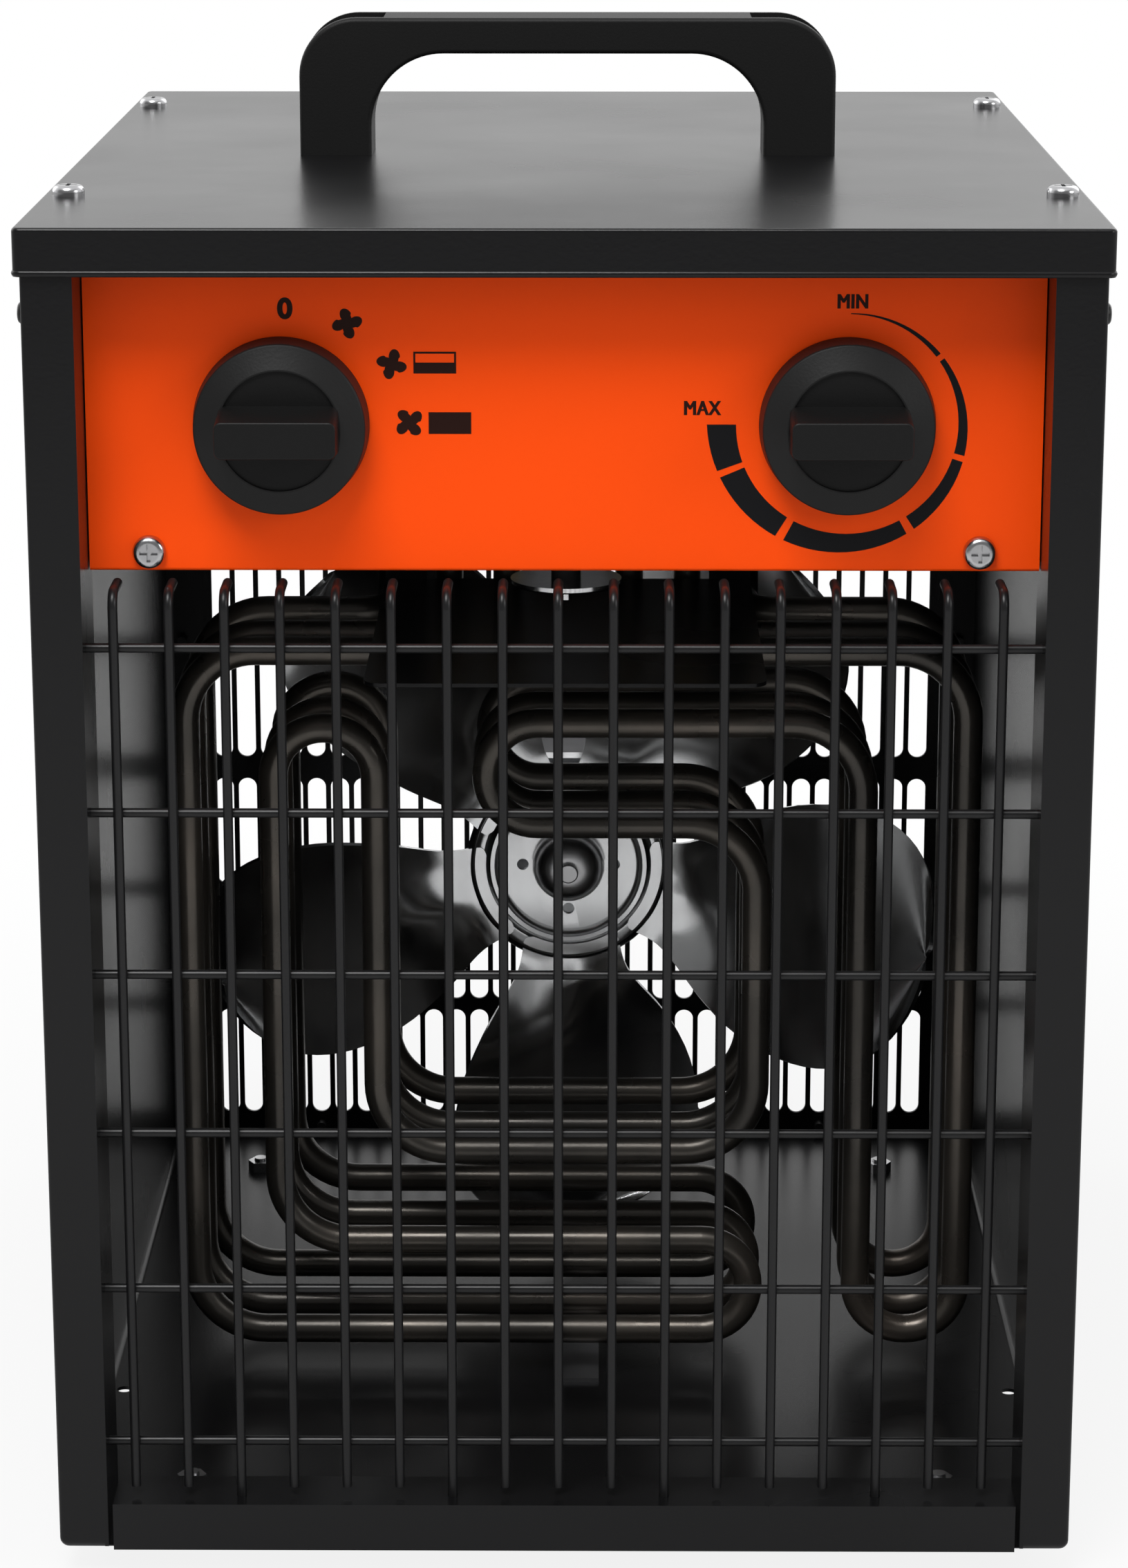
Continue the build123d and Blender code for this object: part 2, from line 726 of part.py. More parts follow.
def heat_shield():
    """Level shield plate hung from the plate above by two tabs at its rear corners."""
    half = shield_width / 2
    y0 = at_depth(shield_front_depth)
    y1 = at_depth(shield_rear_depth)
    plate = block(-half, half, y0, y1, shield_z - sheet, shield_z)
    front_corners = plate.edges().filter_by(Axis.Z).group_by(Axis.Y)[0]
    plate = fillet(front_corners, shield_corner_radius)
    for side in (-1, 1):
        x0 = side * (shield_tab_x - shield_tab_width / 2)
        x1 = side * (shield_tab_x + shield_tab_width / 2)
        plate += block(x0, x1, y1 - sheet, y1, shield_z - sheet, partition_bottom)
        plate += block(x0, x1, y1 - sheet - shield_flange, y1, partition_bottom - sheet, partition_bottom)
        plate -= rod_z(m3_radius + screw_hole_gap, side * shield_tab_x, shield_screw_y,
                       partition_bottom - sheet, partition_bottom)
    return plate


def thermal_cutout():
    """Overheat cut-out: body above the plate, sensing disc and its screw below."""
    y = at_depth(cutout_depth)
    disc_top = partition_bottom - cutout_drop
    body = rod_z(cutout_body_radius, 0, y, partition_top, partition_top + cutout_body_height)
    body += rod_z(cutout_stem_radius, 0, y, disc_top, partition_top)
    for side in (-1, 1):
        x = side * (cutout_body_radius - cutout_blade_inset)
        body += block(x - blade_half_thickness, x + blade_half_thickness, y - blade_half_width, y + blade_half_width,
                      partition_top + cutout_body_height - sheet,
                      partition_top + cutout_body_height + blade_length)
    return body


def cutout_disc():
    y = at_depth(cutout_depth)
    disc_top = partition_bottom - cutout_drop
    disc = rod_z(cutout_disc_radius, 0, y, disc_top - cutout_disc_thickness, disc_top)
    disc = fillet(disc.edges().group_by(Axis.Z)[0], cutout_disc_edge)
    return disc + rod_z(m3_radius, 0, y, disc_top - cutout_screw_drop, disc_top - cutout_disc_thickness)


def element_points(name):
    """Corners of one heating element's centre line, from one terminal round to the other."""
    y = at_depth(element_depths[name])
    leg = element_leg_x[name]

    def up(height):
        return casing_bottom + height

    end_z = partition_top + element_end_rise
    top_z = up(element_top_height)
    low_z = up(element_low_height)
    left_loop_x = -element_left + element_left_loop_inset
    right_loop_x = element_right - element_right_loop_width
    route = [
        (-leg, leg_y, end_z),
        (-leg, leg_y, top_z),
        (-leg, y, top_z),
        (-element_left, y, top_z),
        (-element_left, y, low_z),
        (element_bottom_u_right, y, low_z),
        (element_bottom_u_right, y, up(element_return_height)),
        (left_loop_x, y, up(element_return_height)),
        (left_loop_x, y, up(element_left_loop_height)),
        (left_loop_x + element_left_loop_width, y, up(element_left_loop_height)),
        (left_loop_x + element_left_loop_width, y, up(element_inner_low_height)),
        (element_inner_half, y, up(element_inner_low_height)),
        (element_inner_half, y, up(element_inner_high_height)),
        (-element_inner_u_left, y, up(element_inner_high_height)),
        (-element_inner_u_left, y, up(element_upper_height)),
        (right_loop_x, y, up(element_upper_height)),
        (right_loop_x, y, up(element_right_loop_height)),
        (element_right, y, up(element_right_loop_height)),
        (element_right, y, top_z),
        (leg, y, top_z),
        (leg, leg_y, top_z),
        (leg, leg_y, end_z),
    ]
    tight = 0.49
    bottom_u = (element_return_height - element_low_height) * tight
    left_loop = element_left_loop_width * tight
    inner_u = (element_upper_height - element_inner_high_height) * tight
    right_loop = element_right_loop_width * tight
    corner = element_corner_radius
    end = element_leg_radius
    radii = [end, end, corner, corner, bottom_u, bottom_u, corner, left_loop, left_loop, corner, corner,
             corner, inner_u, inner_u, corner, right_loop, right_loop, corner, end, end]
    return route, radii


def heating_element(name):
    route, radii = element_points(name)
    return bent_tube(route, radii, element_radius)


def element_end_places():
    return [(side * x, leg_y) for x in element_leg_x.values() for side in (-1, 1)]


def element_bushings():
    """Threaded bushings that clamp the element ends in the plate."""
    bushings = []
    for x, y in element_end_places():
        piece = Pos(x, y, partition_top) * hexagon(bushing_across_flats, bushing_height)
        piece += rod_z(bushing_neck_radius, x, y, partition_bottom - bushing_nut_height, partition_top)
        piece -= rod_z(element_radius + bushing_wall_gap, x, y, partition_bottom - bushing_nut_height,
                       partition_top + bushing_height)
        bushings.append(piece)
    return bushings


def element_nuts():
    low = partition_bottom - bushing_nut_height
    ring = nut(bushing_across_flats, bushing_nut_height, bushing_neck_radius + bushing_wall_gap)
    return [Pos(x, y, low) * ring for x, y in element_end_places()]


def terminal_insulators():
    low = partition_top + element_end_rise
    beads = []
    for x, y in element_end_places():
        bead = rod_z(terminal_insulator_radius, x, y, low, low + terminal_insulator_height)
        bead = fillet(bead.edges().group_by(Axis.Z)[-1], terminal_insulator_edge)
        beads.append(bead - rod_z(terminal_pin_radius, x, y, low, low + terminal_insulator_height))
    return beads


def terminal_pins():
    low = partition_top + element_end_rise
    high = low + terminal_insulator_height + terminal_pin_height
    return [rod_z(terminal_pin_radius, x, y, low, high) for x, y in element_end_places()]


def element_support():
    """Upright on the floor that the lowest runs of the elements pass through."""
    depths = list(element_depths.values())
    y0 = at_depth(min(depths)) - comb_margin
    y1 = at_depth(max(depths)) + comb_margin
    run_z = casing_bottom + element_low_height
    x0 = comb_x - comb_thickness / 2
    x1 = comb_x + comb_thickness / 2
    comb = block(x0, x1, y0, y1, floor_top, run_z + comb_margin)
    comb = fillet(comb.edges().filter_by(Axis.X).group_by(Axis.Z)[-1], comb_corner_radius)
    comb += block(x0, x0 + comb_foot, y0, y1, floor_top, floor_top + comb_thickness)
    for depth in depths:
        comb -= rod_x(element_radius + comb_hole_gap, at_depth(depth), run_z, x0, x0 + comb_foot)
    return comb


def front_guard():
    """Upright wires with bent tops, welded to cross bars whose ends sit in the posts' returns."""
    top_z = casing_bottom + guard_top_height
    low_z = skirt_top + guard_low_gap
    peg_z = skirt_top - guard_peg_drop
    bar_half = return_inner + sheet + guard_end_reach
    guard = None
    for z in guard_bar_z:
        bar = rod_x(guard_bar_radius, guard_bar_y, z, -bar_half, bar_half)
        guard = bar if guard is None else guard + bar
    wires = []
    for i, x in enumerate(guard_x):
        start = peg_z if i % guard_peg_step == guard_peg_step // 2 else low_z
        path = FilletPolyline(
            (x, guard_wire_y, start),
            (x, guard_wire_y, top_z),
            (x, guard_wire_y + guard_top_reach, top_z),
            radius=guard_bend_radius,
        )
        wire = sweep(Plane(origin=path @ 0, z_dir=path % 0) * Circle(guard_wire_radius), path=path)
        wires.append(fillet(wire.edges().filter_by(GeomType.CIRCLE).sort_by(Axis.Y)[-1], guard_wire_radius * 0.8))
    return guard.fuse(*wires)


def rear_grille():
    """Slotted rear panel, plain where the motor is fixed."""
    half = half_width - grille_side_gap
    low = casing_bottom + grille_side_gap
    high = casing_top - grille_side_gap
    plate = Pos(0, (low + high) / 2) * Rectangle(half * 2, high - low)
    z = casing_bottom + slot_first_bottom
    rows = slot_rows_below_gap + slot_rows_above_gap
    slots = []
    for row in range(rows):
        row_z = z + slot_height / 2
        near_motor = abs(row_z - fan_z) < slot_height
        for column in range(slot_columns):
            x = (column - (slot_columns - 1) / 2) * slot_pitch
            if near_motor and abs(x) < grille_plain_half:
                continue
            slots.append(Pos(x, row_z) * Rot(0, 0, 90) * SlotOverall(slot_height, slot_width))
        z += slot_height + (slot_wide_gap if row + 1 == slot_rows_below_gap else slot_row_gap)
    plate -= slots
    for x, screw_z in grille_screw_places + mount_screw_places:
        plate -= Pos(x, screw_z) * Circle(m3_radius + screw_hole_gap)
    plate -= Pos(gland_x, gland_height) * Circle(gland_thread_radius + screw_hole_gap)
    return extrude(Plane.XZ.offset(-rear_y) * plate, -sheet)


def fan_impeller():
    """Pressed hub with pitched petal blades. It turns about Y."""
    hub = Cylinder(fan_hub_radius, fan_hub_thickness)
    root = (fan_blade_root_start, fan_blade_root_half)
    neck = (fan_blade_neck, fan_blade_root_half)
    belly = (fan_blade_belly, fan_blade_half_width)
    shoulder = (fan_blade_shoulder, fan_blade_tip_half)

    def low(point):
        return (point[0], -point[1])

    outline = make_face([
        Line(low(root), low(neck)),
        Spline(low(neck), low(belly), low(shoulder)),
        ThreePointArc(low(shoulder), (fan_radius, 0), shoulder),
        Spline(shoulder, belly, neck),
        Line(neck, root),
        Line(root, low(root)),
    ])
    blade = Pos(0, 0, -fan_blade_thickness / 2) * extrude(outline, fan_blade_thickness)
    blade = Rot(-fan_blade_pitch, 0, 0) * blade
    wheel = hub
    for i in range(fan_blades):
        wheel += Rot(0, 0, fan_blade_first_angle + i * 360 / fan_blades) * blade
    wheel -= Cylinder(shaft_radius, fan_hub_thickness * 12)
    facing = Plane(origin=(0, at_depth(fan_hub_depth), fan_z), x_dir=(1, 0, 0), z_dir=(0, -1, 0))
    return facing * wheel


def fan_nut():
    """Domed nut with the end of the shaft showing in its middle."""
    face_y = at_depth(fan_hub_depth) - fan_hub_thickness / 2
    dome = rod_y(fan_nut_radius, 0, fan_z, face_y - fan_nut_height, face_y)
    dome = fillet(dome.edges().group_by(Axis.Y)[0], fan_nut_round)
    return dome - rod_y(shaft_radius, 0, fan_z, face_y - fan_nut_height, face_y)


def motor_shaft():
    front = at_depth(fan_hub_depth) - fan_hub_thickness / 2 - fan_nut_height - fan_nut_proud_shaft
    rear = at_depth(motor_front_depth + motor_bracket_depth * 2 + stator_length) + motor_shaft_tail
    shaft = rod_y(shaft_radius, 0, fan_z, front, rear)
    return fillet(shaft.edges(), motor_shaft_edge)


stator_y0 = at_depth(motor_front_depth + motor_bracket_depth)
stator_y1 = stator_y0 + stator_length


def motor_rotor():
    rotor = rod_y(rotor_radius, 0, fan_z, stator_y0 + rotor_end_gap, stator_y1 - rotor_end_gap)
    return rotor - rod_y(shaft_radius, 0, fan_z, stator_y0, stator_y1)


def motor_stator():
    half = motor_size / 2
    stack = block(-half, half, stator_y0, stator_y1, fan_z - half, fan_z + half)
    stack = fillet(stack.edges().filter_by(Axis.Y), motor_corner_radius)
    stack -= rod_y(stator_bore_radius, 0, fan_z, stator_y0, stator_y1)
    for x, z in motor_bolt_places:
        stack -= rod_y(motor_bolt_radius + screw_hole_gap, x, z, stator_y0, stator_y1)
    return stack


def motor_windings():
    coils = []
    for y0, y1 in ((stator_y0 - winding_length, stator_y0), (stator_y1, stator_y1 + winding_length)):
        ring = rod_y(winding_outer_radius, 0, fan_z, y0, y1)
        coils.append(ring - rod_y(winding_inner_radius, 0, fan_z, y0, y1))
    return coils


def motor_bracket(front):
    """Square end cup that carries one bearing."""
    half = motor_size / 2
    if front:
        y_out, y_in = stator_y0 - motor_bracket_depth, stator_y0
        y_plate = y_out + motor_bracket_plate
    else:
        y_out, y_in = stator_y1 + motor_bracket_depth, stator_y1
        y_plate = y_out - motor_bracket_plate
    cup = block(-half, half, y_out, y_in, fan_z - half, fan_z + half)
    cup = fillet(cup.edges().filter_by(Axis.Y), motor_corner_radius)
    cup -= rod_y(motor_bracket_bore, 0, fan_z, y_plate, y_in)
    cup -= rod_y(bearing_radius, 0, fan_z, y_out, y_in)
    for x, z in motor_bolt_places:
        cup -= rod_y(motor_bolt_radius + screw_hole_gap, x, z, y_out, y_in)
    return cup


def motor_bearings():
    """Plain bushes that the shaft runs in."""
    bushes = []
    for y0 in (stator_y0 - motor_bracket_depth, stator_y1 + motor_bracket_depth - motor_bracket_plate * 3):
        y1 = y0 + motor_bracket_plate * 3
        bush = rod_y(bearing_radius, 0, fan_z, y0, y1)
        bushes.append(bush - rod_y(shaft_radius + shaft_clearance, 0, fan_z, y0, y1))
    return bushes


def motor_mount():
    """Hat bracket from the rear grille to the back of the motor."""
    y0 = stator_y1 + motor_bracket_depth
    half_z = mount_height / 2
    z0 = fan_z - half_z
    z1 = fan_z + half_z
    mount = block(-mount_leg_half, mount_leg_half, y0, y0 + mount_sheet, z0, z1)
    for side in (-1, 1):
        x = side * mount_leg_half
        mount += block(x, x - side * mount_sheet, y0, rear_y, z0, z1)
        mount += block(x, x - side * mount_foot_width, rear_y - mount_sheet, rear_y, z0, z1)
    mount -= rod_y(mount_shaft_hole, 0, fan_z, y0, y0 + mount_sheet)
    for x, z in motor_bolt_places:
        mount -= rod_y(motor_bolt_radius + screw_hole_gap, x, z, y0, y0 + mount_sheet)
    for x, z in mount_screw_places:
        mount -= rod_y(m3_radius + screw_hole_gap, x, z, rear_y - mount_sheet, rear_y)
    return mount


def motor_bolts():
    """Long bolts through the motor, headed in front."""
    head_y = stator_y0 - motor_bracket_depth
    length = motor_bracket_depth * 2 + stator_length + mount_sheet + m3_nut_height + nut_overrun
    bolt = pan_screw(motor_bolt_radius, length, motor_bolt_head_radius, motor_bolt_head_height)
    return [Pos(x, head_y, z) * Rot(90, 0, 0) * bolt for x, z in motor_bolt_places]


def motor_nuts():
    y = stator_y1 + motor_bracket_depth + mount_sheet
    piece = nut(m3_nut_flats, m3_nut_height, motor_bolt_radius + screw_hole_gap)
    return [Pos(x, y, z) * Rot(-90, 0, 0) * piece for x, z in motor_bolt_places]


def motor_lead():
    """Sleeved lead from the stator up into the control space."""
    start_z = fan_z + motor_size / 2
    y = stator_y1 - lead_start_shift
    return bent_tube([
        (lead_x - lead_start_shift, y, start_z),
        (lead_x - lead_start_shift, y, start_z + lead_first_rise),
        (lead_x, at_depth(lead_depth), start_z + lead_second_rise),
        (lead_x, at_depth(lead_depth), partition_top + lead_rise_above_plate),
    ], [lead_bend, lead_bend], lead_radius)


def lead_grommet():
    y = at_depth(lead_depth)
    ring = rod_z(grommet_radius, lead_x, y, partition_bottom - grommet_flange, partition_top + grommet_flange)
    for z in (partition_bottom - grommet_flange, partition_top):
        ring += rod_z(grommet_radius + grommet_rim, lead_x, y, z, z + grommet_flange)
    return ring - rod_z(lead_radius, lead_x, y, partition_bottom - grommet_flange, partition_top + grommet_flange)


def terminal_block():
    """Block of clamp terminals for the supply leads."""
    y = at_depth(block_depth)
    x0 = block_x - block_length / 2
    body = block(x0, x0 + block_length, y - block_width / 2, y + block_width / 2,
                 partition_top, partition_top + block_height)
    pitch = block_length / block_ways
    for i in range(block_ways):
        x = x0 + (i + 0.5) * pitch
        for side in (-1, 1):
            body -= rod_z(block_hole_radius, x, y + side * block_hole_offset,
                          partition_top + block_wire_rise, partition_top + block_height)
        body -= rod_y(block_wire_radius, x, partition_top + block_wire_rise, y - block_width / 2, y + block_width / 2)
    return body


def block_screws():
    y = at_depth(block_depth)
    x0 = block_x - block_length / 2
    pitch = block_length / block_ways
    low = partition_top + block_wire_rise
    screws = []
    for i in range(block_ways):
        for j in (-1, 1):
            x = x0 + (i + 0.5) * pitch
            screws.append(rod_z(block_screw_radius, x, y + j * block_hole_offset,
                                low + block_screw_low, low + block_screw_high))
    return screws


def cable_gland():
    """Gland body outside the rear panel, with its thread through it."""
    face = rear_y + sheet
    hexa = Pos(gland_x, face, gland_height) * Rot(-90, 0, 0) * hexagon(gland_flats, gland_hex_length)
    dome_y = face + gland_hex_length
    cone = Cone(gland_flats / 2 - gland_shoulder, gland_tip_radius, gland_dome_length)
    dome = Pos(gland_x, dome_y + gland_dome_length / 2, gland_height) * Rot(-90, 0, 0) * cone
    thread = rod_y(gland_thread_radius, gland_x, gland_height, rear_y - gland_nut_length - gland_thread_overrun, face)
    bore = rod_y(gland_bore, gland_x, gland_height, rear_y - gland_nut_length - gland_thread_overrun,
                 dome_y + gland_dome_length)
    return hexa + dome + thread - bore


def gland_nut():
    piece = nut(gland_flats, gland_nut_length, gland_thread_radius + screw_hole_gap)
    return Pos(gland_x, rear_y, gland_height) * Rot(90, 0, 0) * piece


def rubber_feet():
    feet = []
    for x, y in foot_places:
        foot = Pos(x, y, foot_height / 2) * Cone(foot_radius - foot_taper, foot_radius, foot_height)
        foot -= rod_z(foot_recess_radius, x, y, 0, foot_recess_depth)
        foot -= rod_z(m4_radius + screw_hole_gap, x, y, foot_recess_depth, foot_height)
        feet.append(foot)
    return feet


def foot_screws():
    length = foot_height - foot_recess_depth + sheet + m4_nut_height + nut_overrun
    screw = pan_screw(m4_radius, length)
    return [Pos(x, y, foot_recess_depth) * Rot(180, 0, 0) * screw for x, y in foot_places]


def foot_nuts():
    piece = nut(m4_nut_flats, m4_nut_height, m4_radius + screw_hole_gap)
    return [Pos(x, y, floor_top) * piece for x, y in foot_places]


def lid_screws():
    screw = pan_screw(m4_radius, lid_screw_length)
    return [Pos(x, y, lid_top) * screw for x, y in lid_screw_places]


def handle_screws():
    """Screws from under the lid up into the handle's feet."""
    screw = pan_screw(handle_screw_radius, handle_screw_depth - 1)
    return [Pos(side * handle_screw_x, middle_y, casing_top) * Rot(180, 0, 0) * screw for side in (-1, 1)]


def panel_screws():
    screw = pan_screw(m4_radius, panel_screw_length)
    return [Pos(x, at_depth(panel_recess), z) * Rot(90, 0, 0) * screw for x, z in panel_screw_places]


def shield_screws():
    screw = pan_screw(m3_radius, sheet * 2 + m3_nut_height + nut_overrun, m3_head_radius, m3_head_height)
    return [Pos(side * shield_tab_x, shield_screw_y, partition_bottom - sheet) * Rot(180, 0, 0) * screw
            for side in (-1, 1)]


def shield_nuts():
    piece = nut(m3_nut_flats, m3_nut_height, m3_radius + screw_hole_gap)
    return [Pos(side * shield_tab_x, shield_screw_y, partition_top) * piece for side in (-1, 1)]


def rear_screws():
    screw = pan_screw(m3_radius, rear_screw_length, m3_head_radius, m3_head_height)
    return [Pos(x, rear_y + sheet, z) * Rot(-90, 0, 0) * screw
            for x, z in grille_screw_places + mount_screw_places]


def side_rivets():
    """Domed rivets near the top of each side wall."""
    rivets = []
    z = casing_top - side_rivet_below_top
    for side in (-1, 1):
        head = Cylinder(side_rivet_head_radius, side_rivet_head_height,
                        align=(Align.CENTER, Align.CENTER, Align.MIN))
        head = fillet(head.edges().group_by(Axis.Z)[-1], side_rivet_head_height * 0.9)
        head += rod_z(side_rivet_shank_radius, 0, 0, -side_rivet_grip, 0)
        rivets.append(Pos(side * half_width, at_depth(side_rivet_depth), z) * Rot(0, side * 90, 0) * head)
    return rivets


def build():
    nodes = {
        "casing": casing(),
        "lid": lid(),
        "lid_screws": lid_screws(),
        "handle": handle(),
        "handle_screws": handle_screws(),
        "control_panel": control_panel(),
        "panel_screws": panel_screws(),
        "selector_knob": knob(-1),
        "selector_shaft": knob_shaft(-1, switch_length),
        "selector_switch": selector_switch(),
        "thermostat_knob": knob(1),
        "thermostat_shaft": knob_shaft(1, thermostat_length),
        "thermostat_body": thermostat_body(),
        "thermostat_capillary": thermostat_capillary(),
        "thermostat_bulb": thermostat_bulb(),
        "bulb_clips": bulb_clips(),
        "partition_plate": partition_plate(),
        "heat_shield": heat_shield(),
        "shield_screws": shield_screws(),
        "shield_nuts": shield_nuts(),
        "thermal_cutout": thermal_cutout(),
        "cutout_disc": cutout_disc(),
        "element_bushings": element_bushings(),
        "element_nuts": element_nuts(),
        "terminal_insulators": terminal_insulators(),
        "terminal_pins": terminal_pins(),
        "element_support": element_support(),
        "front_guard": front_guard(),
        "rear_grille": rear_grille(),
        "rear_screws": rear_screws(),
        "fan_impeller": fan_impeller(),
        "fan_nut": fan_nut(),
        "motor_shaft": motor_shaft(),
        "motor_rotor": motor_rotor(),
        "motor_stator": motor_stator(),
        "motor_windings": motor_windings(),
        "motor_front_bracket": motor_bracket(True),
        "motor_rear_bracket": motor_bracket(False),
        "motor_bearings": motor_bearings(),
        "motor_mount": motor_mount(),
        "motor_bolts": motor_bolts(),
        "motor_nuts": motor_nuts(),
        "motor_lead": motor_lead(),
        "lead_grommet": lead_grommet(),
        "terminal_block": terminal_block(),
        "block_screws": block_screws(),
        "cable_gland": cable_gland(),
        "gland_nut": gland_nut(),
        "rubber_feet": rubber_feet(),
        "foot_screws": foot_screws(),
        "foot_nuts": foot_nuts(),
        "side_rivets": side_rivets(),
    }
    for name in element_depths:
        nodes[f"heating_element_{name}"] = heating_element(name)
    for name, shape in nodes.items():
        save(name, shape)


build()
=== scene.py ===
import bpy
import bmesh
import json
import math
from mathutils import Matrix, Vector


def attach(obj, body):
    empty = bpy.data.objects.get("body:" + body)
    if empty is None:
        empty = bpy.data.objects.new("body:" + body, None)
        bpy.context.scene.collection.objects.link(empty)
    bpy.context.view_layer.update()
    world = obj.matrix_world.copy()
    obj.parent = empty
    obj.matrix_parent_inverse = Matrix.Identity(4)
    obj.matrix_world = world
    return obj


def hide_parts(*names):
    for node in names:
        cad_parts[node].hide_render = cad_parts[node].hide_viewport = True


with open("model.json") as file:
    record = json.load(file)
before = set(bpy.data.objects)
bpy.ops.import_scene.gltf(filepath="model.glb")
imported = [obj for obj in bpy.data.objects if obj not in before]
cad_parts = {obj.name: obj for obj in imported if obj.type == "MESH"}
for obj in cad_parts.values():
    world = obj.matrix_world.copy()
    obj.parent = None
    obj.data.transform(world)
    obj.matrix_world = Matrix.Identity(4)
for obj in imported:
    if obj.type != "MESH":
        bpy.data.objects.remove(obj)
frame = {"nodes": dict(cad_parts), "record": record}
bpy.ops.object.select_all(action="DESELECT")
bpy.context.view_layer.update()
nodes = frame["nodes"]

# Places on the heater, in metres. The front is at -Y.
PANEL_FACE = -0.1544
DIAL_HEIGHT = 0.3067
SELECTOR_X = -0.071
THERMOSTAT_X = 0.071
LID_LOW = 0.3463
LID_FRONT = -0.1739
LID_REAR = 0.1601
LID_HALF = 0.135
HUB = Vector((0.0, 0.0476, 0.1345))


# Materials

def new_material(name, color, roughness, metallic=0.0, gloss=0.5):
    material = bpy.data.materials.new(name)
    material.use_nodes = True
    shader = material.node_tree.nodes["Principled BSDF"]
    shader.inputs["Base Color"].default_value = (*color, 1.0)
    shader.inputs["Roughness"].default_value = roughness
    shader.inputs["Metallic"].default_value = metallic
    shader.inputs["Specular IOR Level"].default_value = gloss
    return material, material.node_tree, shader


def noise_on_object(tree, scale, detail=3.0, stretch=(1.0, 1.0, 1.0)):
    """Noise that is fixed to the piece, stretched along an axis where wanted."""
    place = tree.nodes.new("ShaderNodeTexCoord")
    turn = tree.nodes.new("ShaderNodeMapping")
    turn.inputs["Scale"].default_value = stretch
    noise = tree.nodes.new("ShaderNodeTexNoise")
    noise.inputs["Scale"].default_value = scale
    noise.inputs["Detail"].default_value = detail
    tree.links.new(place.outputs["Object"], turn.inputs["Vector"])
    tree.links.new(turn.outputs["Vector"], noise.inputs["Vector"])
    return noise


def spread(tree, value, start, end, low, high):
    """Node that runs from low to high while the value runs from start to end."""
    node = tree.nodes.new("ShaderNodeMapRange")
    node.inputs["From Min"].default_value = start
    node.inputs["From Max"].default_value = end
    node.inputs["To Min"].default_value = low
    node.inputs["To Max"].default_value = high
    tree.links.new(value, node.inputs["Value"])
    return node


def vary_roughness(tree, shader, noise, low, high):
    share = spread(tree, noise.outputs["Fac"], start=0.3, end=0.7, low=low, high=high)
    tree.links.new(share.outputs["Result"], shader.inputs["Roughness"])


def vary_color(tree, shader, noise, stops):
    ramp = tree.nodes.new("ShaderNodeValToRGB")
    points = ramp.color_ramp.elements
    while len(points) < len(stops):
        points.new(0.5)
    for point, (position, color) in zip(points, stops):
        point.position = position
        point.color = (*color, 1.0)
    tree.links.new(noise.outputs["Fac"], ramp.inputs["Fac"])
    tree.links.new(ramp.outputs["Color"], shader.inputs["Base Color"])


def raise_grain(tree, shader, noise, strength, distance):
    bump = tree.nodes.new("ShaderNodeBump")
    bump.inputs["Strength"].default_value = strength
    bump.inputs["Distance"].default_value = distance
    tree.links.new(noise.outputs["Fac"], bump.inputs["Height"])
    tree.links.new(bump.outputs["Normal"], shader.inputs["Normal"])


def powder_coat(name, color, roughness, grain=0.12, gloss=0.22):
    material, tree, shader = new_material(name, color, roughness, gloss=gloss)
    raise_grain(tree, shader, noise_on_object(tree, scale=900), grain, distance=0.0002)
    vary_roughness(tree, shader, noise_on_object(tree, scale=14), roughness - 0.015, roughness + 0.02)
    return material


def moulded_plastic(name, color, roughness, grain=0.25, gloss=0.25):
    material, tree, shader = new_material(name, color, roughness, gloss=gloss)
    raise_grain(tree, shader, noise_on_object(tree, scale=1400), grain, distance=0.00015)
    return material


def zinc_plate(name, color, roughness):
    material, tree, shader = new_material(name, color, roughness, metallic=1.0)
    cloud = noise_on_object(tree, scale=60, detail=5)
    dark = tuple(channel * 0.82 for channel in color)
    vary_color(tree, shader, cloud, [(0.35, dark), (0.65, color)])
    vary_roughness(tree, shader, noise_on_object(tree, scale=35), roughness - 0.06, roughness + 0.08)
    return material


def bright_plate(name, color, roughness):
    material, tree, shader = new_material(name, color, roughness, metallic=1.0)
    vary_roughness(tree, shader, noise_on_object(tree, scale=400), roughness - 0.03, roughness + 0.05)
    return material


def heat_tinted_sheath(name):
    """Steel sheath gone brown-grey in patches where it runs hot."""
    material, tree, shader = new_material(name, (0.10, 0.09, 0.08), 0.30, metallic=0.75)
    vary_color(tree, shader, noise_on_object(tree, scale=16, detail=4), [
        (0.30, (0.046, 0.043, 0.040)),
        (0.48, (0.076, 0.070, 0.062)),
        (0.62, (0.116, 0.103, 0.089)),
        (0.75, (0.155, 0.130, 0.110)),
    ])
    vary_roughness(tree, shader, noise_on_object(tree, scale=45), low=0.22, high=0.38)
    raise_grain(tree, shader, noise_on_object(tree, scale=700), strength=0.08, distance=0.0002)
    return material


def polished_pressing(name):
    """Pressed aluminium, polished, with faint long rolling marks."""
    material, tree, shader = new_material(name, (0.76, 0.77, 0.78), 0.2, metallic=1.0)
    marks = noise_on_object(tree, scale=90, detail=4, stretch=(1.0, 1.0, 0.12))
    vary_roughness(tree, shader, marks, low=0.14, high=0.27)
    raise_grain(tree, shader, noise_on_object(tree, scale=30), strength=0.10, distance=0.0008)
    return material


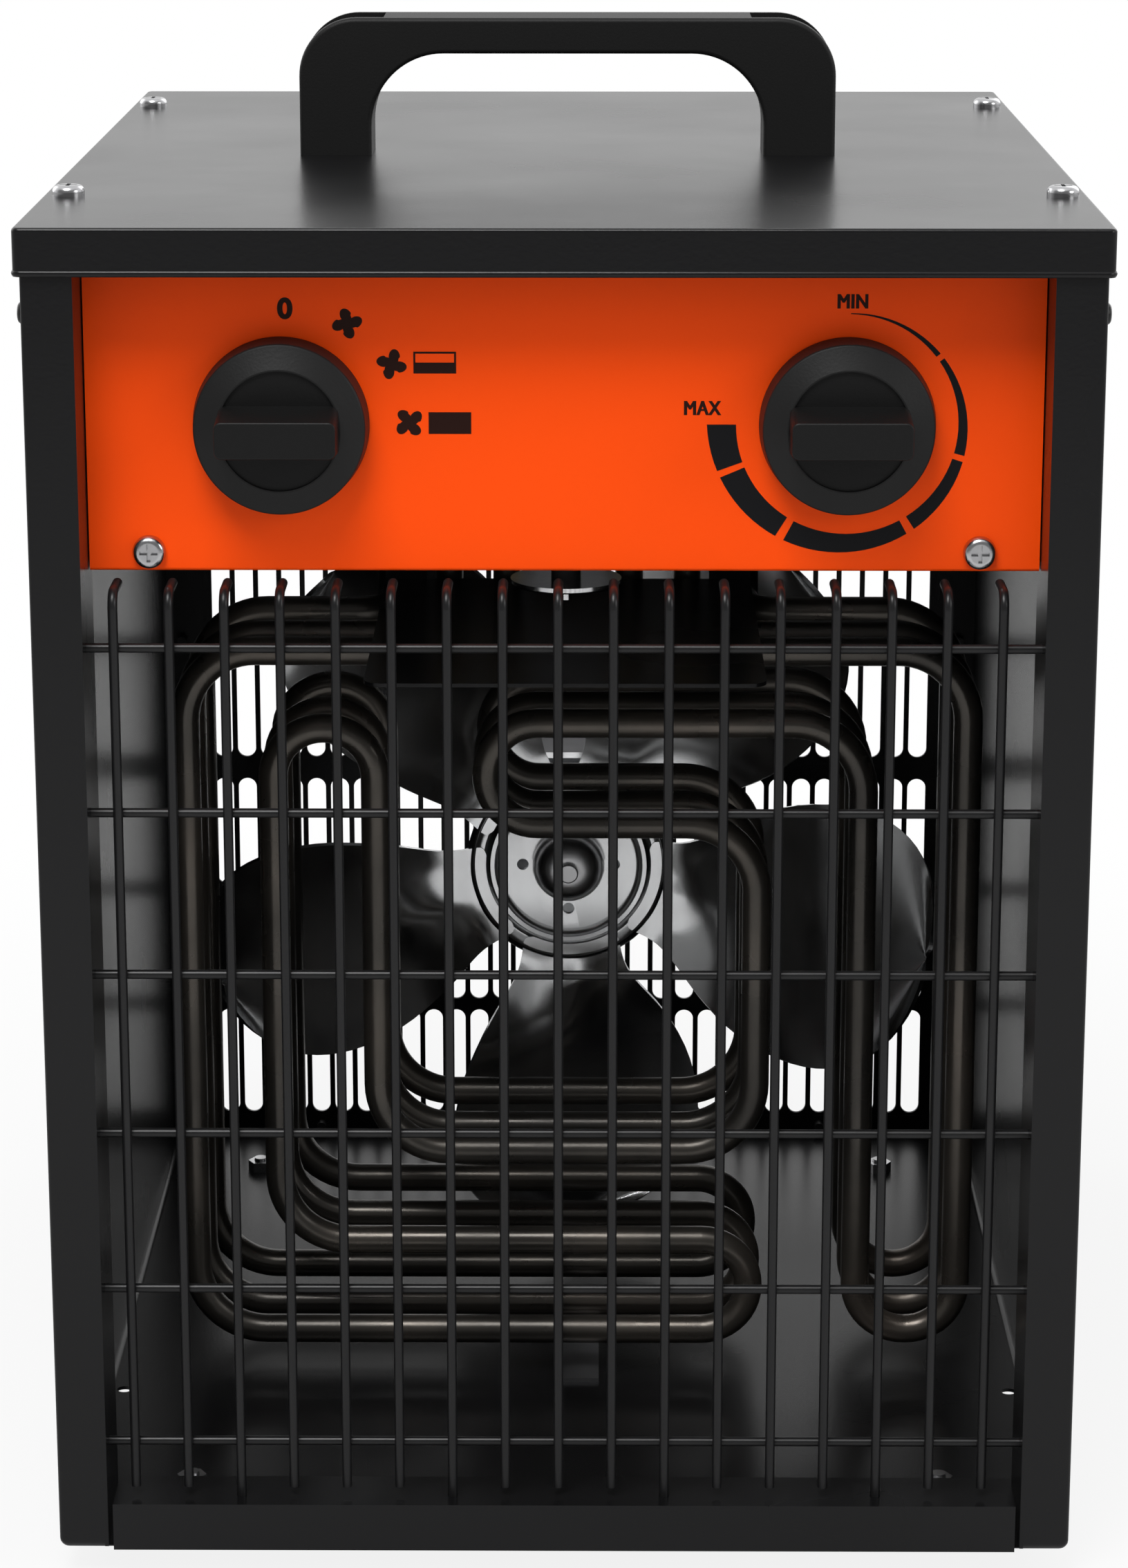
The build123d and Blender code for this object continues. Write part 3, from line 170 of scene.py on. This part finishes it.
def wound_wire(name):
    """Copper wire in close turns, one after another along Y."""
    material, tree, shader = new_material(name, (0.42, 0.17, 0.06), 0.32, metallic=0.7)
    wires = tree.nodes.new("ShaderNodeTexWave")
    wires.inputs["Scale"].default_value = 420
    wires.bands_direction = "Y"
    place = tree.nodes.new("ShaderNodeTexCoord")
    tree.links.new(place.outputs["Object"], wires.inputs["Vector"])
    raise_grain(tree, shader, wires, strength=0.5, distance=0.0004)
    return material


def woven_sleeve(name):
    material, tree, shader = new_material(name, (0.50, 0.47, 0.40), 0.85)
    weave = noise_on_object(tree, scale=1100, stretch=(1.0, 1.0, 0.4))
    raise_grain(tree, shader, weave, strength=0.6, distance=0.0004)
    return material


finishes = {
    "casing_black": powder_coat("casing_black", (0.0050, 0.0050, 0.0054), 0.26, gloss=0.25),
    "guard_black": powder_coat("guard_black", (0.009, 0.009, 0.0095), 0.30, grain=0.03, gloss=0.28),
    "panel_orange": powder_coat("panel_orange", (0.96, 0.072, 0.0005), 0.45, grain=0.05, gloss=0.12),
    # Painted shade: the galvanised sheet is coloured darker than bare zinc, standing in for the shade
    # inside the casing, so it shows dark in the fan's blades.
    "zinc_sheet": zinc_plate("zinc_sheet", (0.30, 0.30, 0.31), 0.38),
    "screw_chrome": bright_plate("screw_chrome", (0.50, 0.50, 0.51), 0.22),
    "zinc_steel": zinc_plate("zinc_steel", (0.62, 0.62, 0.63), 0.28),
    "screw_black": powder_coat("screw_black", (0.02, 0.02, 0.02), 0.3, grain=0.02),
    "handle_plastic": moulded_plastic("handle_plastic", (0.007, 0.007, 0.007), 0.5, gloss=0.2),
    "knob_plastic": moulded_plastic("knob_plastic", (0.009, 0.009, 0.009), 0.46, gloss=0.2),
    "switch_plastic": moulded_plastic("switch_plastic", (0.03, 0.03, 0.03), 0.45),
    "capillary_copper": bright_plate("capillary_copper", (0.72, 0.40, 0.26), 0.25),
    "cutout_steel": bright_plate("cutout_steel", (0.78, 0.78, 0.79), 0.16),
    "bushing_brass": bright_plate("bushing_brass", (0.72, 0.54, 0.25), 0.26),
    "insulator_ceramic": moulded_plastic("insulator_ceramic", (0.80, 0.77, 0.70), 0.55, grain=0.1),
    "element_steel": heat_tinted_sheath("element_steel"),
    "fan_aluminium": polished_pressing("fan_aluminium"),
    "stator_steel": zinc_plate("stator_steel", (0.16, 0.16, 0.17), 0.42),
    "winding_copper": wound_wire("winding_copper"),
    "lead_sleeve": woven_sleeve("lead_sleeve"),
    "rubber_black": moulded_plastic("rubber_black", (0.016, 0.016, 0.016), 0.7, grain=0.3),
    "block_plastic": moulded_plastic("block_plastic", (0.80, 0.78, 0.72), 0.3, grain=0.03),
    "gland_plastic": moulded_plastic("gland_plastic", (0.02, 0.02, 0.021), 0.42),
}


def knob_with_painted_shade(name, centre_x):
    """Knob plastic with painted shade: the recessed disc inside the raised ring is coloured darker,
    standing in for the shade in the recess.
    """
    # Painted shade: the disc in the knob's recess is coloured darker than the ring round it.
    recess_shade_color = (0.0055, 0.0055, 0.0055, 1)
    ring_color = (0.0105, 0.0105, 0.0105, 1)
    disc_radius = 0.0149
    ring_radius = 0.0153
    material, tree, shader = new_material(name, (0.009, 0.009, 0.009), 0.46, gloss=0.2)
    raise_grain(tree, shader, noise_on_object(tree, scale=1400), strength=0.25, distance=0.00015)
    place = tree.nodes.new("ShaderNodeTexCoord")
    from_centre = tree.nodes.new("ShaderNodeMapping")
    from_centre.inputs["Location"].default_value = (-centre_x, 0, -DIAL_HEIGHT)
    axes = tree.nodes.new("ShaderNodeSeparateXYZ")
    flat = tree.nodes.new("ShaderNodeCombineXYZ")
    radius = tree.nodes.new("ShaderNodeVectorMath")
    radius.operation = "LENGTH"
    recess_shade_mix = tree.nodes.new("ShaderNodeMix")
    recess_shade_mix.data_type = "RGBA"
    recess_shade_mix.inputs["A"].default_value = recess_shade_color
    recess_shade_mix.inputs["B"].default_value = ring_color
    tree.links.new(place.outputs["Object"], from_centre.inputs["Vector"])
    tree.links.new(from_centre.outputs["Vector"], axes.inputs["Vector"])
    tree.links.new(axes.outputs["X"], flat.inputs["X"])
    tree.links.new(axes.outputs["Z"], flat.inputs["Z"])
    tree.links.new(flat.outputs["Vector"], radius.inputs[0])
    edge = spread(tree, radius.outputs["Value"], disc_radius, ring_radius, low=0.0, high=1.0)
    tree.links.new(edge.outputs["Result"], recess_shade_mix.inputs["Factor"])
    tree.links.new(recess_shade_mix.outputs["Result"], shader.inputs["Base Color"])
    return material


dial_ink = powder_coat("dial_ink", (0.006, 0.006, 0.007), 0.45, grain=0.0, gloss=0.12)
symbol_ink = powder_coat("symbol_ink", (0.018, 0.005, 0.003), 0.45, grain=0.0, gloss=0.12)

for part in frame["record"]["subparts"]:
    shape = nodes[part["node"]].data
    shape.materials.clear()
    shape.materials.append(finishes[part["material_slot"]])
for node, centre_x in (("selector_knob", SELECTOR_X), ("thermostat_knob", THERMOSTAT_X)):
    nodes[node].data.materials[0] = knob_with_painted_shade(node, centre_x)


# Modelling helpers

def active():
    return bpy.context.view_layer.objects.active


def only(obj):
    bpy.ops.object.select_all(action="DESELECT")
    obj.select_set(True)
    bpy.context.view_layer.objects.active = obj


def pick(test):
    """In edit mode, selects the vertices that pass the test."""
    bpy.ops.mesh.select_mode(type="VERT")
    bpy.ops.mesh.select_all(action="DESELECT")
    mesh = bmesh.from_edit_mesh(active().data)
    for vertex in mesh.verts:
        vertex.select = test(vertex.co)
    mesh.select_flush(True)
    bmesh.update_edit_mesh(active().data)


def pick_faces(test):
    """In edit mode, selects the faces that pass the test."""
    bpy.ops.mesh.select_mode(type="FACE")
    bpy.ops.mesh.select_all(action="DESELECT")
    mesh = bmesh.from_edit_mesh(active().data)
    for face in mesh.faces:
        face.select_set(test(face))
    bmesh.update_edit_mesh(active().data)


def settle(obj):
    """Puts the object's place and turn into its mesh."""
    only(obj)
    bpy.ops.object.transform_apply(location=True, rotation=True, scale=True)


def apply_modifier(obj, kind, **settings):
    only(obj)
    modifier = obj.modifiers.new(kind.lower(), kind)
    for key, value in settings.items():
        setattr(modifier, key, value)
    bpy.ops.object.modifier_apply(modifier=modifier.name)


def join(pieces):
    bpy.ops.object.select_all(action="DESELECT")
    for piece in pieces:
        piece.select_set(True)
    bpy.context.view_layer.objects.active = pieces[0]
    bpy.ops.object.join()
    return pieces[0]


def unite(first, others):
    """Makes one skin of closed pieces that overlap."""
    for other in others:
        apply_modifier(first, "BOOLEAN", object=other, operation="UNION", solver="EXACT")
        bpy.data.objects.remove(other)


def copy_of(obj):
    only(obj)
    bpy.ops.object.duplicate(linked=False)
    return active()


def start_as_point():
    """Starts a mesh of one vertex at the origin and leaves it in edit mode."""
    bpy.ops.mesh.primitive_plane_add(size=0.001, location=(0, 0, 0))
    bpy.ops.object.mode_set(mode="EDIT")
    bpy.ops.mesh.select_mode(type="VERT")
    bpy.ops.mesh.select_all(action="SELECT")
    bpy.ops.mesh.merge(type="CENTER")
    return active()


def finish_piece(obj, name, material, body, smooth=35):
    """Names a new piece, gives it its finish and joins it to its body."""
    settle(obj)
    bpy.ops.object.mode_set(mode="EDIT")
    bpy.ops.mesh.select_all(action="SELECT")
    bpy.ops.mesh.remove_doubles(threshold=0.000001)
    bpy.ops.mesh.normals_make_consistent(inside=False)
    bpy.ops.object.mode_set(mode="OBJECT")
    bpy.ops.object.shade_smooth_by_angle(angle=math.radians(smooth))
    obj.name = name
    obj.data.name = name
    obj.data.materials.clear()
    obj.data.materials.append(material)
    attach(obj, body)
    return obj


# Fan wheel

# Radius and depth of the hub's skin, from the bore out over the front and back behind.
HUB_PROFILE = [
    (0.0031, 0.0000), (0.0204, 0.0000), (0.0217, -0.0004), (0.0227, -0.0016), (0.0239, -0.0018),
    (0.0251, -0.0008), (0.0262, 0.0002), (0.0279, 0.0000), (0.0292, -0.0010), (0.0304, -0.0004),
    (0.0312, 0.0010), (0.0308, 0.0018), (0.0296, 0.0010), (0.0279, 0.0014), (0.0217, 0.0018),
    (0.0100, 0.0020), (0.0031, 0.0020), (0.0031, 0.0000),
]
HUB_HOLES = 4
HUB_HOLE_RADIUS = 0.0018
HUB_HOLE_CIRCLE = 0.0140
HUB_FORWARD = 0.001

# Radius and half width of the flat blade, row by row.
BLADE_ROWS = [
    (0.0226, 0.0146), (0.0268, 0.0150), (0.0312, 0.0158), (0.0358, 0.0178), (0.0410, 0.0216),
    (0.0470, 0.0268), (0.0550, 0.0326), (0.0640, 0.0372), (0.0730, 0.0398), (0.0820, 0.0410),
    (0.0900, 0.0404), (0.0970, 0.0382), (0.1030, 0.0344), (0.1080, 0.0288), (0.1120, 0.0212),
    (0.1142, 0.0128), (0.1150, 0.0044),
]
BLADE_COLUMNS = 12
BLADE_ANGLES = [272 + 72 * i for i in range(5)]
BLADE_PITCH = math.radians(22)
BLADE_SHEET = 0.0012
TWIST_START = 0.031
TWIST_LENGTH = 0.022
CUP_DEPTH = 0.0052
CUP_START = 0.030
CUP_LENGTH = 0.04
RIB_HEIGHT = 0.0020
RIB_START = 0.032
RIB_END = 0.058
RIB_STEEPNESS = 1.6


def turned_hub():
    """Pressed hub: an edge line is drawn outwards and back, and spun round the shaft."""
    hub = start_as_point()
    radius, depth = HUB_PROFILE[0]
    bpy.ops.transform.translate(value=(radius, depth, 0))
    for (r0, d0), (r1, d1) in zip(HUB_PROFILE, HUB_PROFILE[1:]):
        bpy.ops.mesh.extrude_region_move(TRANSFORM_OT_translate={"value": (r1 - r0, d1 - d0, 0)})
    bpy.ops.mesh.select_all(action="SELECT")
    bpy.ops.mesh.spin(steps=72, angle=math.tau, center=(0, 0, 0), axis=(0, 1, 0))
    bpy.ops.mesh.select_all(action="SELECT")
    bpy.ops.mesh.remove_doubles(threshold=0.00001)
    bpy.ops.mesh.normals_make_consistent(inside=False)
    bpy.ops.object.mode_set(mode="OBJECT")
    for k in range(HUB_HOLES):
        turn = math.radians(360 * k / HUB_HOLES)
        place = (HUB_HOLE_CIRCLE * math.cos(turn), 0, HUB_HOLE_CIRCLE * math.sin(turn))
        bpy.ops.mesh.primitive_cylinder_add(vertices=20, radius=HUB_HOLE_RADIUS, depth=0.012,
                                            location=place, rotation=(math.radians(90), 0, 0))
        drill = active()
        apply_modifier(hub, "BOOLEAN", object=drill, operation="DIFFERENCE", solver="EXACT")
        bpy.data.objects.remove(drill)
    return hub


def growth(radius, start, length):
    """Nought up to the start radius, growing to one over the length after it."""
    return min(1.0, max(0.0, (radius - start) / length))


def pressed_way(radius, height, share):
    """How far a point of the flat blade moves when it is cupped, ribbed and twisted."""
    cup = CUP_DEPTH * (1 - share * share) * growth(radius, CUP_START, CUP_LENGTH)
    rib = RIB_HEIGHT * max(0.0, 1 - abs(share) * RIB_STEEPNESS) if RIB_START < radius < RIB_END else 0.0
    twist = BLADE_PITCH * growth(radius, TWIST_START, TWIST_LENGTH)
    return (0, height * math.sin(twist) + cup - rib, height * (math.cos(twist) - 1))


def pressed_blade():
    """One petal blade on +X: a grid's rows are placed and widened, then its points are pressed."""
    last = len(BLADE_ROWS) - 1
    bpy.ops.mesh.primitive_grid_add(x_subdivisions=last, y_subdivisions=BLADE_COLUMNS,
                                    size=2, rotation=(math.radians(90), 0, 0))
    blade = active()
    settle(blade)
    bpy.ops.object.mode_set(mode="EDIT")
    step = 2 / last
    # Placed rows stand well clear of the grid while the rest are picked from it.
    clear = 10
    for i, (radius, half) in enumerate(BLADE_ROWS):
        start = -1 + i * step
        pick(lambda co: abs(co.x - start) < step / 4 and abs(co.y) < 0.5)
        bpy.ops.transform.resize(value=(1, 1, half), center_override=(start, 0, 0))
        bpy.ops.transform.translate(value=(radius + clear - start, 0, 0))
    bpy.ops.mesh.select_all(action="SELECT")
    bpy.ops.transform.translate(value=(-clear, 0, 0))
    for radius, half in BLADE_ROWS:
        for j in range(BLADE_COLUMNS + 1):
            share = -1 + 2 * j / BLADE_COLUMNS
            height = half * share
            pick(lambda co: abs(co.x - radius) < 0.0004 and abs(co.z - height) < 0.0003)
            bpy.ops.transform.translate(value=pressed_way(radius, height, share))
    bpy.ops.object.mode_set(mode="OBJECT")
    apply_modifier(blade, "SUBSURF", levels=1, render_levels=1)
    apply_modifier(blade, "SOLIDIFY", thickness=BLADE_SHEET, offset=0.0)
    return blade


def fan_wheel():
    first = pressed_blade()
    blades = [first] + [copy_of(first) for _ in BLADE_ANGLES[1:]]
    for blade, angle in zip(blades, BLADE_ANGLES):
        blade.rotation_euler = (0, -math.radians(angle), 0)
        settle(blade)
    wheel = join([turned_hub()] + blades)
    wheel.location = HUB - Vector((0, HUB_FORWARD, 0))
    finish_piece(wheel, "fan_wheel", finishes["fan_aluminium"], "fan", smooth=40)
    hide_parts("fan_impeller")


fan_wheel()


# Lid

HEM_RADIUS = 0.0009
HEM_CORNER = 0.0016
HEM_INSET = 0.0005
HEM_RAISE = 0.0008


def lid_hem():
    """Rolled edge along the bottom of the lid's flange."""
    width = LID_HALF * 2 - HEM_INSET * 2
    depth = LID_REAR - LID_FRONT - HEM_INSET * 2
    middle = (LID_REAR + LID_FRONT) / 2
    bpy.ops.mesh.primitive_plane_add(size=1, location=(0, middle, LID_LOW + HEM_RAISE))
    hem = active()
    hem.scale = (width, depth, 1)
    settle(hem)
    bpy.ops.object.mode_set(mode="EDIT")
    bpy.ops.mesh.select_all(action="SELECT")
    bpy.ops.mesh.bevel(offset=HEM_CORNER, segments=5, affect="VERTICES")
    bpy.ops.mesh.delete(type="ONLY_FACE")
    bpy.ops.object.mode_set(mode="OBJECT")
    bpy.ops.object.convert(target="CURVE")
    hem = active()
    hem.data.bevel_depth = HEM_RADIUS
    hem.data.bevel_resolution = 3
    bpy.ops.object.convert(target="MESH")
    finish_piece(active(), "lid_hem", finishes["casing_black"], "case", smooth=60)


lid_hem()


# Printed marks on the panel. Each is a thin film on its face, placed by X and height in millimetres.

FILM_FRONT = PANEL_FACE - 0.00006
FILM_BACK = PANEL_FACE + 0.00004
BOLD_STEP = 0.00020
PETALS = 4
PETAL_LEAN = math.radians(24)
PETAL_HALF_LENGTH = 0.00200
PETAL_HALF_WIDTH = 0.00142
PETAL_TAPER = 0.74
PETAL_TAPER_START = -0.0002
PETAL_REACH = 0.00192
SYMBOL_HUB_RADIUS = 0.0015
BAR_WIDTH = 0.0107
BAR_HEIGHT = 0.0055
BAR_LINE = 0.0005
SCALE_CENTRE = (THERMOSTAT_X, FILM_FRONT, 0.3066)
SCALE_INNER = 0.0279
SCALE_FIRST_WIDTH = 0.00022
SCALE_GROWTH = 0.0071
SCALE_POWER = 1.12
SCALE_SWEEP = 270
SCALE_HAIR = 0.0001
SCALE_SPANS = [(1, 52), (55, 105), (108, 147), (151, 208), (212, 247), (250, 270)]


def thicken_film(obj):
    """Thickens a flat shape in the XZ plane into a closed film."""
    settle(obj)
    bpy.ops.object.mode_set(mode="EDIT")
    bpy.ops.mesh.select_all(action="SELECT")
    bpy.ops.mesh.remove_doubles(threshold=0.000001)
    bpy.ops.mesh.extrude_region_move(TRANSFORM_OT_translate={"value": (0, FILM_BACK - FILM_FRONT, 0)})
    bpy.ops.mesh.select_all(action="SELECT")
    bpy.ops.mesh.normals_make_consistent(inside=False)
    bpy.ops.object.mode_set(mode="OBJECT")


def finish_mark(obj, name, ink):
    """Names a mark and joins it to the panel's body."""
    return finish_piece(obj, name, ink, "case", smooth=30)


def lettering(word, name, x, z, height, thicken=0.0, squeeze=1.0, copies=0):
    """Upright letters, made bolder by copies that are set a little beside them and united with them."""
    bpy.ops.object.text_add(location=(0, 0, 0))
    text = active()
    text.data.body = word
    text.data.align_x = "CENTER"
    text.data.align_y = "CENTER"
    text.data.size = 1
    text.data.offset = thicken
    text.data.space_character = 1.06 + thicken * 2
    bpy.ops.object.convert(target="MESH")
    text = active()
    tall = height / text.dimensions.y
    text.scale = (tall * squeeze, tall, tall)
    text.rotation_euler = (math.radians(90), 0, 0)
    settle(text)
    bpy.ops.object.origin_set(type="ORIGIN_GEOMETRY", center="BOUNDS")
    text.location = (x / 1000 - BOLD_STEP * copies / 2, FILM_FRONT, z / 1000)
    thicken_film(text)
    bolder = [copy_of(text) for _ in range(copies)]
    for k, letters in enumerate(bolder):
        letters.location = (BOLD_STEP * (k + 1), 0, 0)
        settle(letters)
    unite(text, bolder)
    return finish_mark(text, name, symbol_ink)


def flat_disc(vertices, radius):
    bpy.ops.mesh.primitive_circle_add(vertices=vertices, radius=radius, fill_type="NGON",
                                      rotation=(math.radians(90), 0, 0))
    return active()


def symbol_petal(angle):
    """Leaf shape, narrower towards the hub, that leans away from its own radius."""
    petal = flat_disc(28, 1)
    settle(petal)
    bpy.ops.object.mode_set(mode="EDIT")
    bpy.ops.mesh.select_all(action="SELECT")
    bpy.ops.transform.resize(value=(PETAL_HALF_LENGTH, 1, PETAL_HALF_WIDTH))
    pick(lambda co: co.x < PETAL_TAPER_START)
    bpy.ops.transform.resize(value=(1, 1, PETAL_TAPER), center_override=(0, 0, 0))
    bpy.ops.object.mode_set(mode="OBJECT")
    petal.rotation_euler = (0, -(angle + PETAL_LEAN), 0)
    petal.location = (PETAL_REACH * math.cos(angle), 0, PETAL_REACH * math.sin(angle))
    thicken_film(petal)
    return petal


def fan_symbol(name, x, z, turn):
    """Swirled petals round a small hub."""
    petals = [symbol_petal(math.radians(turn + 360 * k / PETALS)) for k in range(PETALS)]
    symbol = flat_disc(20, SYMBOL_HUB_RADIUS)
    thicken_film(symbol)
    unite(symbol, petals)
    symbol.location = (x / 1000, FILM_FRONT, z / 1000)
    return finish_mark(symbol, name, symbol_ink)


def level_bar(name, x, z, full):
    """Rectangle for a heat step, filled up to half or wholly."""
    bpy.ops.mesh.primitive_plane_add(size=1, rotation=(math.radians(90), 0, 0))
    bar = active()
    bar.scale = (BAR_WIDTH, BAR_HEIGHT, 1)
    settle(bar)
    inside = BAR_WIDTH / 2 - BAR_LINE / 2
    if not full:
        bpy.ops.object.mode_set(mode="EDIT")
        bpy.ops.mesh.select_all(action="SELECT")
        bpy.ops.mesh.inset(thickness=BAR_LINE, depth=0)
        pick(lambda co: abs(co.x) < inside and co.z < 0)
        bpy.ops.transform.translate(value=(0, 0, BAR_HEIGHT / 2 - BAR_LINE))
        pick_faces(lambda face: all(abs(vertex.co.x) < inside for vertex in face.verts))
        bpy.ops.mesh.delete(type="FACE")
        bpy.ops.object.mode_set(mode="OBJECT")
    bar.location = (x / 1000, FILM_FRONT, z / 1000)
    thicken_film(bar)
    return finish_mark(bar, name, symbol_ink)


def scale_outer(angle):
    """Outer radius of the thermostat's scale at an angle in degrees, clockwise from the top."""
    return SCALE_INNER + SCALE_FIRST_WIDTH + SCALE_GROWTH * (angle / SCALE_SWEEP) ** SCALE_POWER


def scale_segment(name, first, last):
    """Part of the thermostat's scale, which widens clockwise from MIN to MAX."""
    steps = max(3, round((last - first) / 4))
    segment = start_as_point()
    start = math.radians(first)
    bpy.ops.transform.translate(value=(SCALE_INNER * math.sin(start), 0, SCALE_INNER * math.cos(start)))
    bpy.ops.mesh.extrude_region_move(TRANSFORM_OT_translate={
        "value": (SCALE_HAIR * math.sin(start), 0, SCALE_HAIR * math.cos(start))})
    bpy.ops.mesh.select_all(action="SELECT")
    bpy.ops.mesh.spin(steps=steps, angle=math.radians(last - first), center=(0, 0, 0), axis=(0, -1, 0))
    for i in range(steps + 1):
        angle = first + (last - first) * i / steps
        way = Vector((math.sin(math.radians(angle)), 0, math.cos(math.radians(angle))))
        edge = way * (SCALE_INNER + SCALE_HAIR)
        pick(lambda co: (co - edge).length < SCALE_HAIR * 0.3)
        bpy.ops.transform.translate(value=way * (scale_outer(angle) - SCALE_INNER - SCALE_HAIR))
    bpy.ops.object.mode_set(mode="OBJECT")
    segment.location = SCALE_CENTRE
    thicken_film(segment)
    return finish_mark(segment, name, dial_ink)


lettering("0", "mark_off", -69.7, 335.8, height=0.0055, thicken=0.045, squeeze=1.05)
lettering("MIN", "mark_min", 71.9, 337.7, height=0.0036, squeeze=0.80, copies=2)
lettering("MAX", "mark_max", 34.7, 310.8, height=0.0036, squeeze=0.80, copies=2)
fan_symbol("mark_fan_only", -54.2, 332.0, turn=7)
fan_symbol("mark_fan_half", -43.2, 321.8, turn=-22)
fan_symbol("mark_fan_full", -38.9, 307.0, turn=34)
level_bar("mark_half_heat", -32.4, 322.2, full=False)
level_bar("mark_full_heat", -28.7, 306.9, full=True)
for number, (first, last) in enumerate(SCALE_SPANS):
    scale_segment(f"mark_scale_{number + 1}", first, last)


# Floor, light and camera

WHITE = (1, 1, 1, 1)
FLOOR_COLOR = (0.68, 0.68, 0.68, 1)
SHADOW_REACH = 0.22
SHADOW_END = 0.60
SHADOW_FADE = 0.86
STUDIO_LIGHT = 0.5
STUDIO_DIM = 0.22
CAMERA_PLACE = (0.0069, -1.2189, 0.4953)
CAMERA_DOWN = 14.84
CAMERA_ASIDE = 0.375
CAMERA_LENS = 98.57


def combine(tree, operation, first, second):
    """Output of a math node that takes two values."""
    node = tree.nodes.new("ShaderNodeMath")
    node.operation = operation
    tree.links.new(first, node.inputs[0])
    tree.links.new(second, node.inputs[1])
    return node.outputs["Value"]


def blend(tree, share, first, second, target):
    """Mixes two shaders by a share and sends the result to the target."""
    mix = tree.nodes.new("ShaderNodeMixShader")
    tree.links.new(share, mix.inputs["Fac"])
    tree.links.new(first, mix.inputs[1])
    tree.links.new(second, mix.inputs[2])
    tree.links.new(mix.outputs["Shader"], target)


def studio_floor():
    """Pale floor that keeps the heater's shadow and fades to plain white away from it."""
    bpy.ops.mesh.primitive_plane_add(size=8, location=(0, 0, 0))
    floor = active()
    floor.name = "studio_floor"
    material = bpy.data.materials.new("studio_floor")
    material.use_nodes = True
    tree = material.node_tree
    tree.nodes.clear()
    out = tree.nodes.new("ShaderNodeOutputMaterial")
    matt = tree.nodes.new("ShaderNodeBsdfDiffuse")
    matt.inputs["Color"].default_value = FLOOR_COLOR
    white = tree.nodes.new("ShaderNodeEmission")
    white.inputs["Color"].default_value = WHITE
    rays = tree.nodes.new("ShaderNodeLightPath")
    place = tree.nodes.new("ShaderNodeTexCoord")
    away = tree.nodes.new("ShaderNodeVectorMath")
    away.operation = "LENGTH"
    tree.links.new(place.outputs["Object"], away.inputs[0])
    fade = spread(tree, away.outputs["Value"], SHADOW_REACH, SHADOW_END, low=SHADOW_FADE, high=1.0)
    share = combine(tree, "MULTIPLY", fade.outputs["Result"], rays.outputs["Is Camera Ray"])
    blend(tree, share, matt.outputs["BSDF"], white.outputs["Emission"], out.inputs["Surface"])
    floor.data.materials.append(material)


def studio_shade(tree, value, dim_at, white_at):
    """Brightness in reflections, from dim to white by how far a direction points along an axis."""
    shade = spread(tree, value, dim_at, white_at, low=STUDIO_DIM, high=1.0)
    shade.interpolation_type = "SMOOTHSTEP"
    return shade.outputs["Result"]


def studio_world():
    """White to the camera. Reflections see white above and behind, and a dimmer studio in front."""
    world = bpy.data.worlds.new("studio")
    bpy.context.scene.world = world
    world.use_nodes = True
    tree = world.node_tree
    tree.nodes.clear()
    out = tree.nodes.new("ShaderNodeOutputWorld")
    seen = tree.nodes.new("ShaderNodeBackground")
    seen.inputs["Color"].default_value = WHITE
    lit = tree.nodes.new("ShaderNodeBackground")
    lit.inputs["Color"].default_value = WHITE
    lit.inputs["Strength"].default_value = STUDIO_LIGHT
    rays = tree.nodes.new("ShaderNodeLightPath")
    way = tree.nodes.new("ShaderNodeTexCoord")
    axes = tree.nodes.new("ShaderNodeSeparateXYZ")
    tree.links.new(way.outputs["Generated"], axes.inputs["Vector"])
    behind = studio_shade(tree, axes.outputs["Y"], dim_at=-0.45, white_at=0.10)
    above = studio_shade(tree, axes.outputs["Z"], dim_at=0.55, white_at=0.90)
    studio = combine(tree, "MAXIMUM", behind, above)
    bright = combine(tree, "MAXIMUM", studio, rays.outputs["Is Camera Ray"])
    tree.links.new(bright, seen.inputs["Strength"])
    direct = combine(tree, "MAXIMUM", rays.outputs["Is Camera Ray"], rays.outputs["Is Glossy Ray"])
    looks = combine(tree, "MAXIMUM", direct, rays.outputs["Is Transmission Ray"])
    blend(tree, looks, lit.outputs["Background"], seen.outputs["Background"], out.inputs["Surface"])


def soft_lamp(name, place, aim, size, power):
    bpy.ops.object.light_add(type="AREA", location=place)
    lamp = active()
    lamp.name = name
    lamp.data.shape = "DISK"
    lamp.data.size = size
    lamp.data.energy = power
    way = Vector(aim) - Vector(place)
    lamp.rotation_euler = way.to_track_quat("-Z", "Y").to_euler()


studio_floor()
studio_world()
soft_lamp("key_above", (-0.30, -1.0, 1.7), aim=(0, -0.05, 0.15), size=0.9, power=23.5)
soft_lamp("fill_right", (1.5, -0.9, 0.9), aim=(0, 0, 0.2), size=0.9, power=7)
soft_lamp("back_left", (1.1, 1.5, 1.2), aim=(0, 0, 0.2), size=1.8, power=10)
soft_lamp("back_right", (-1.4, 1.0, 0.9), aim=(0, 0, 0.2), size=1.6, power=7)

bpy.ops.object.camera_add(location=CAMERA_PLACE,
                          rotation=(math.radians(90 - CAMERA_DOWN), 0, math.radians(CAMERA_ASIDE)))
camera = active()
camera.data.sensor_width = 36
camera.data.lens = CAMERA_LENS
camera.data.clip_start = 0.01
bpy.context.scene.camera = camera
bpy.context.scene.view_settings.view_transform = "Standard"
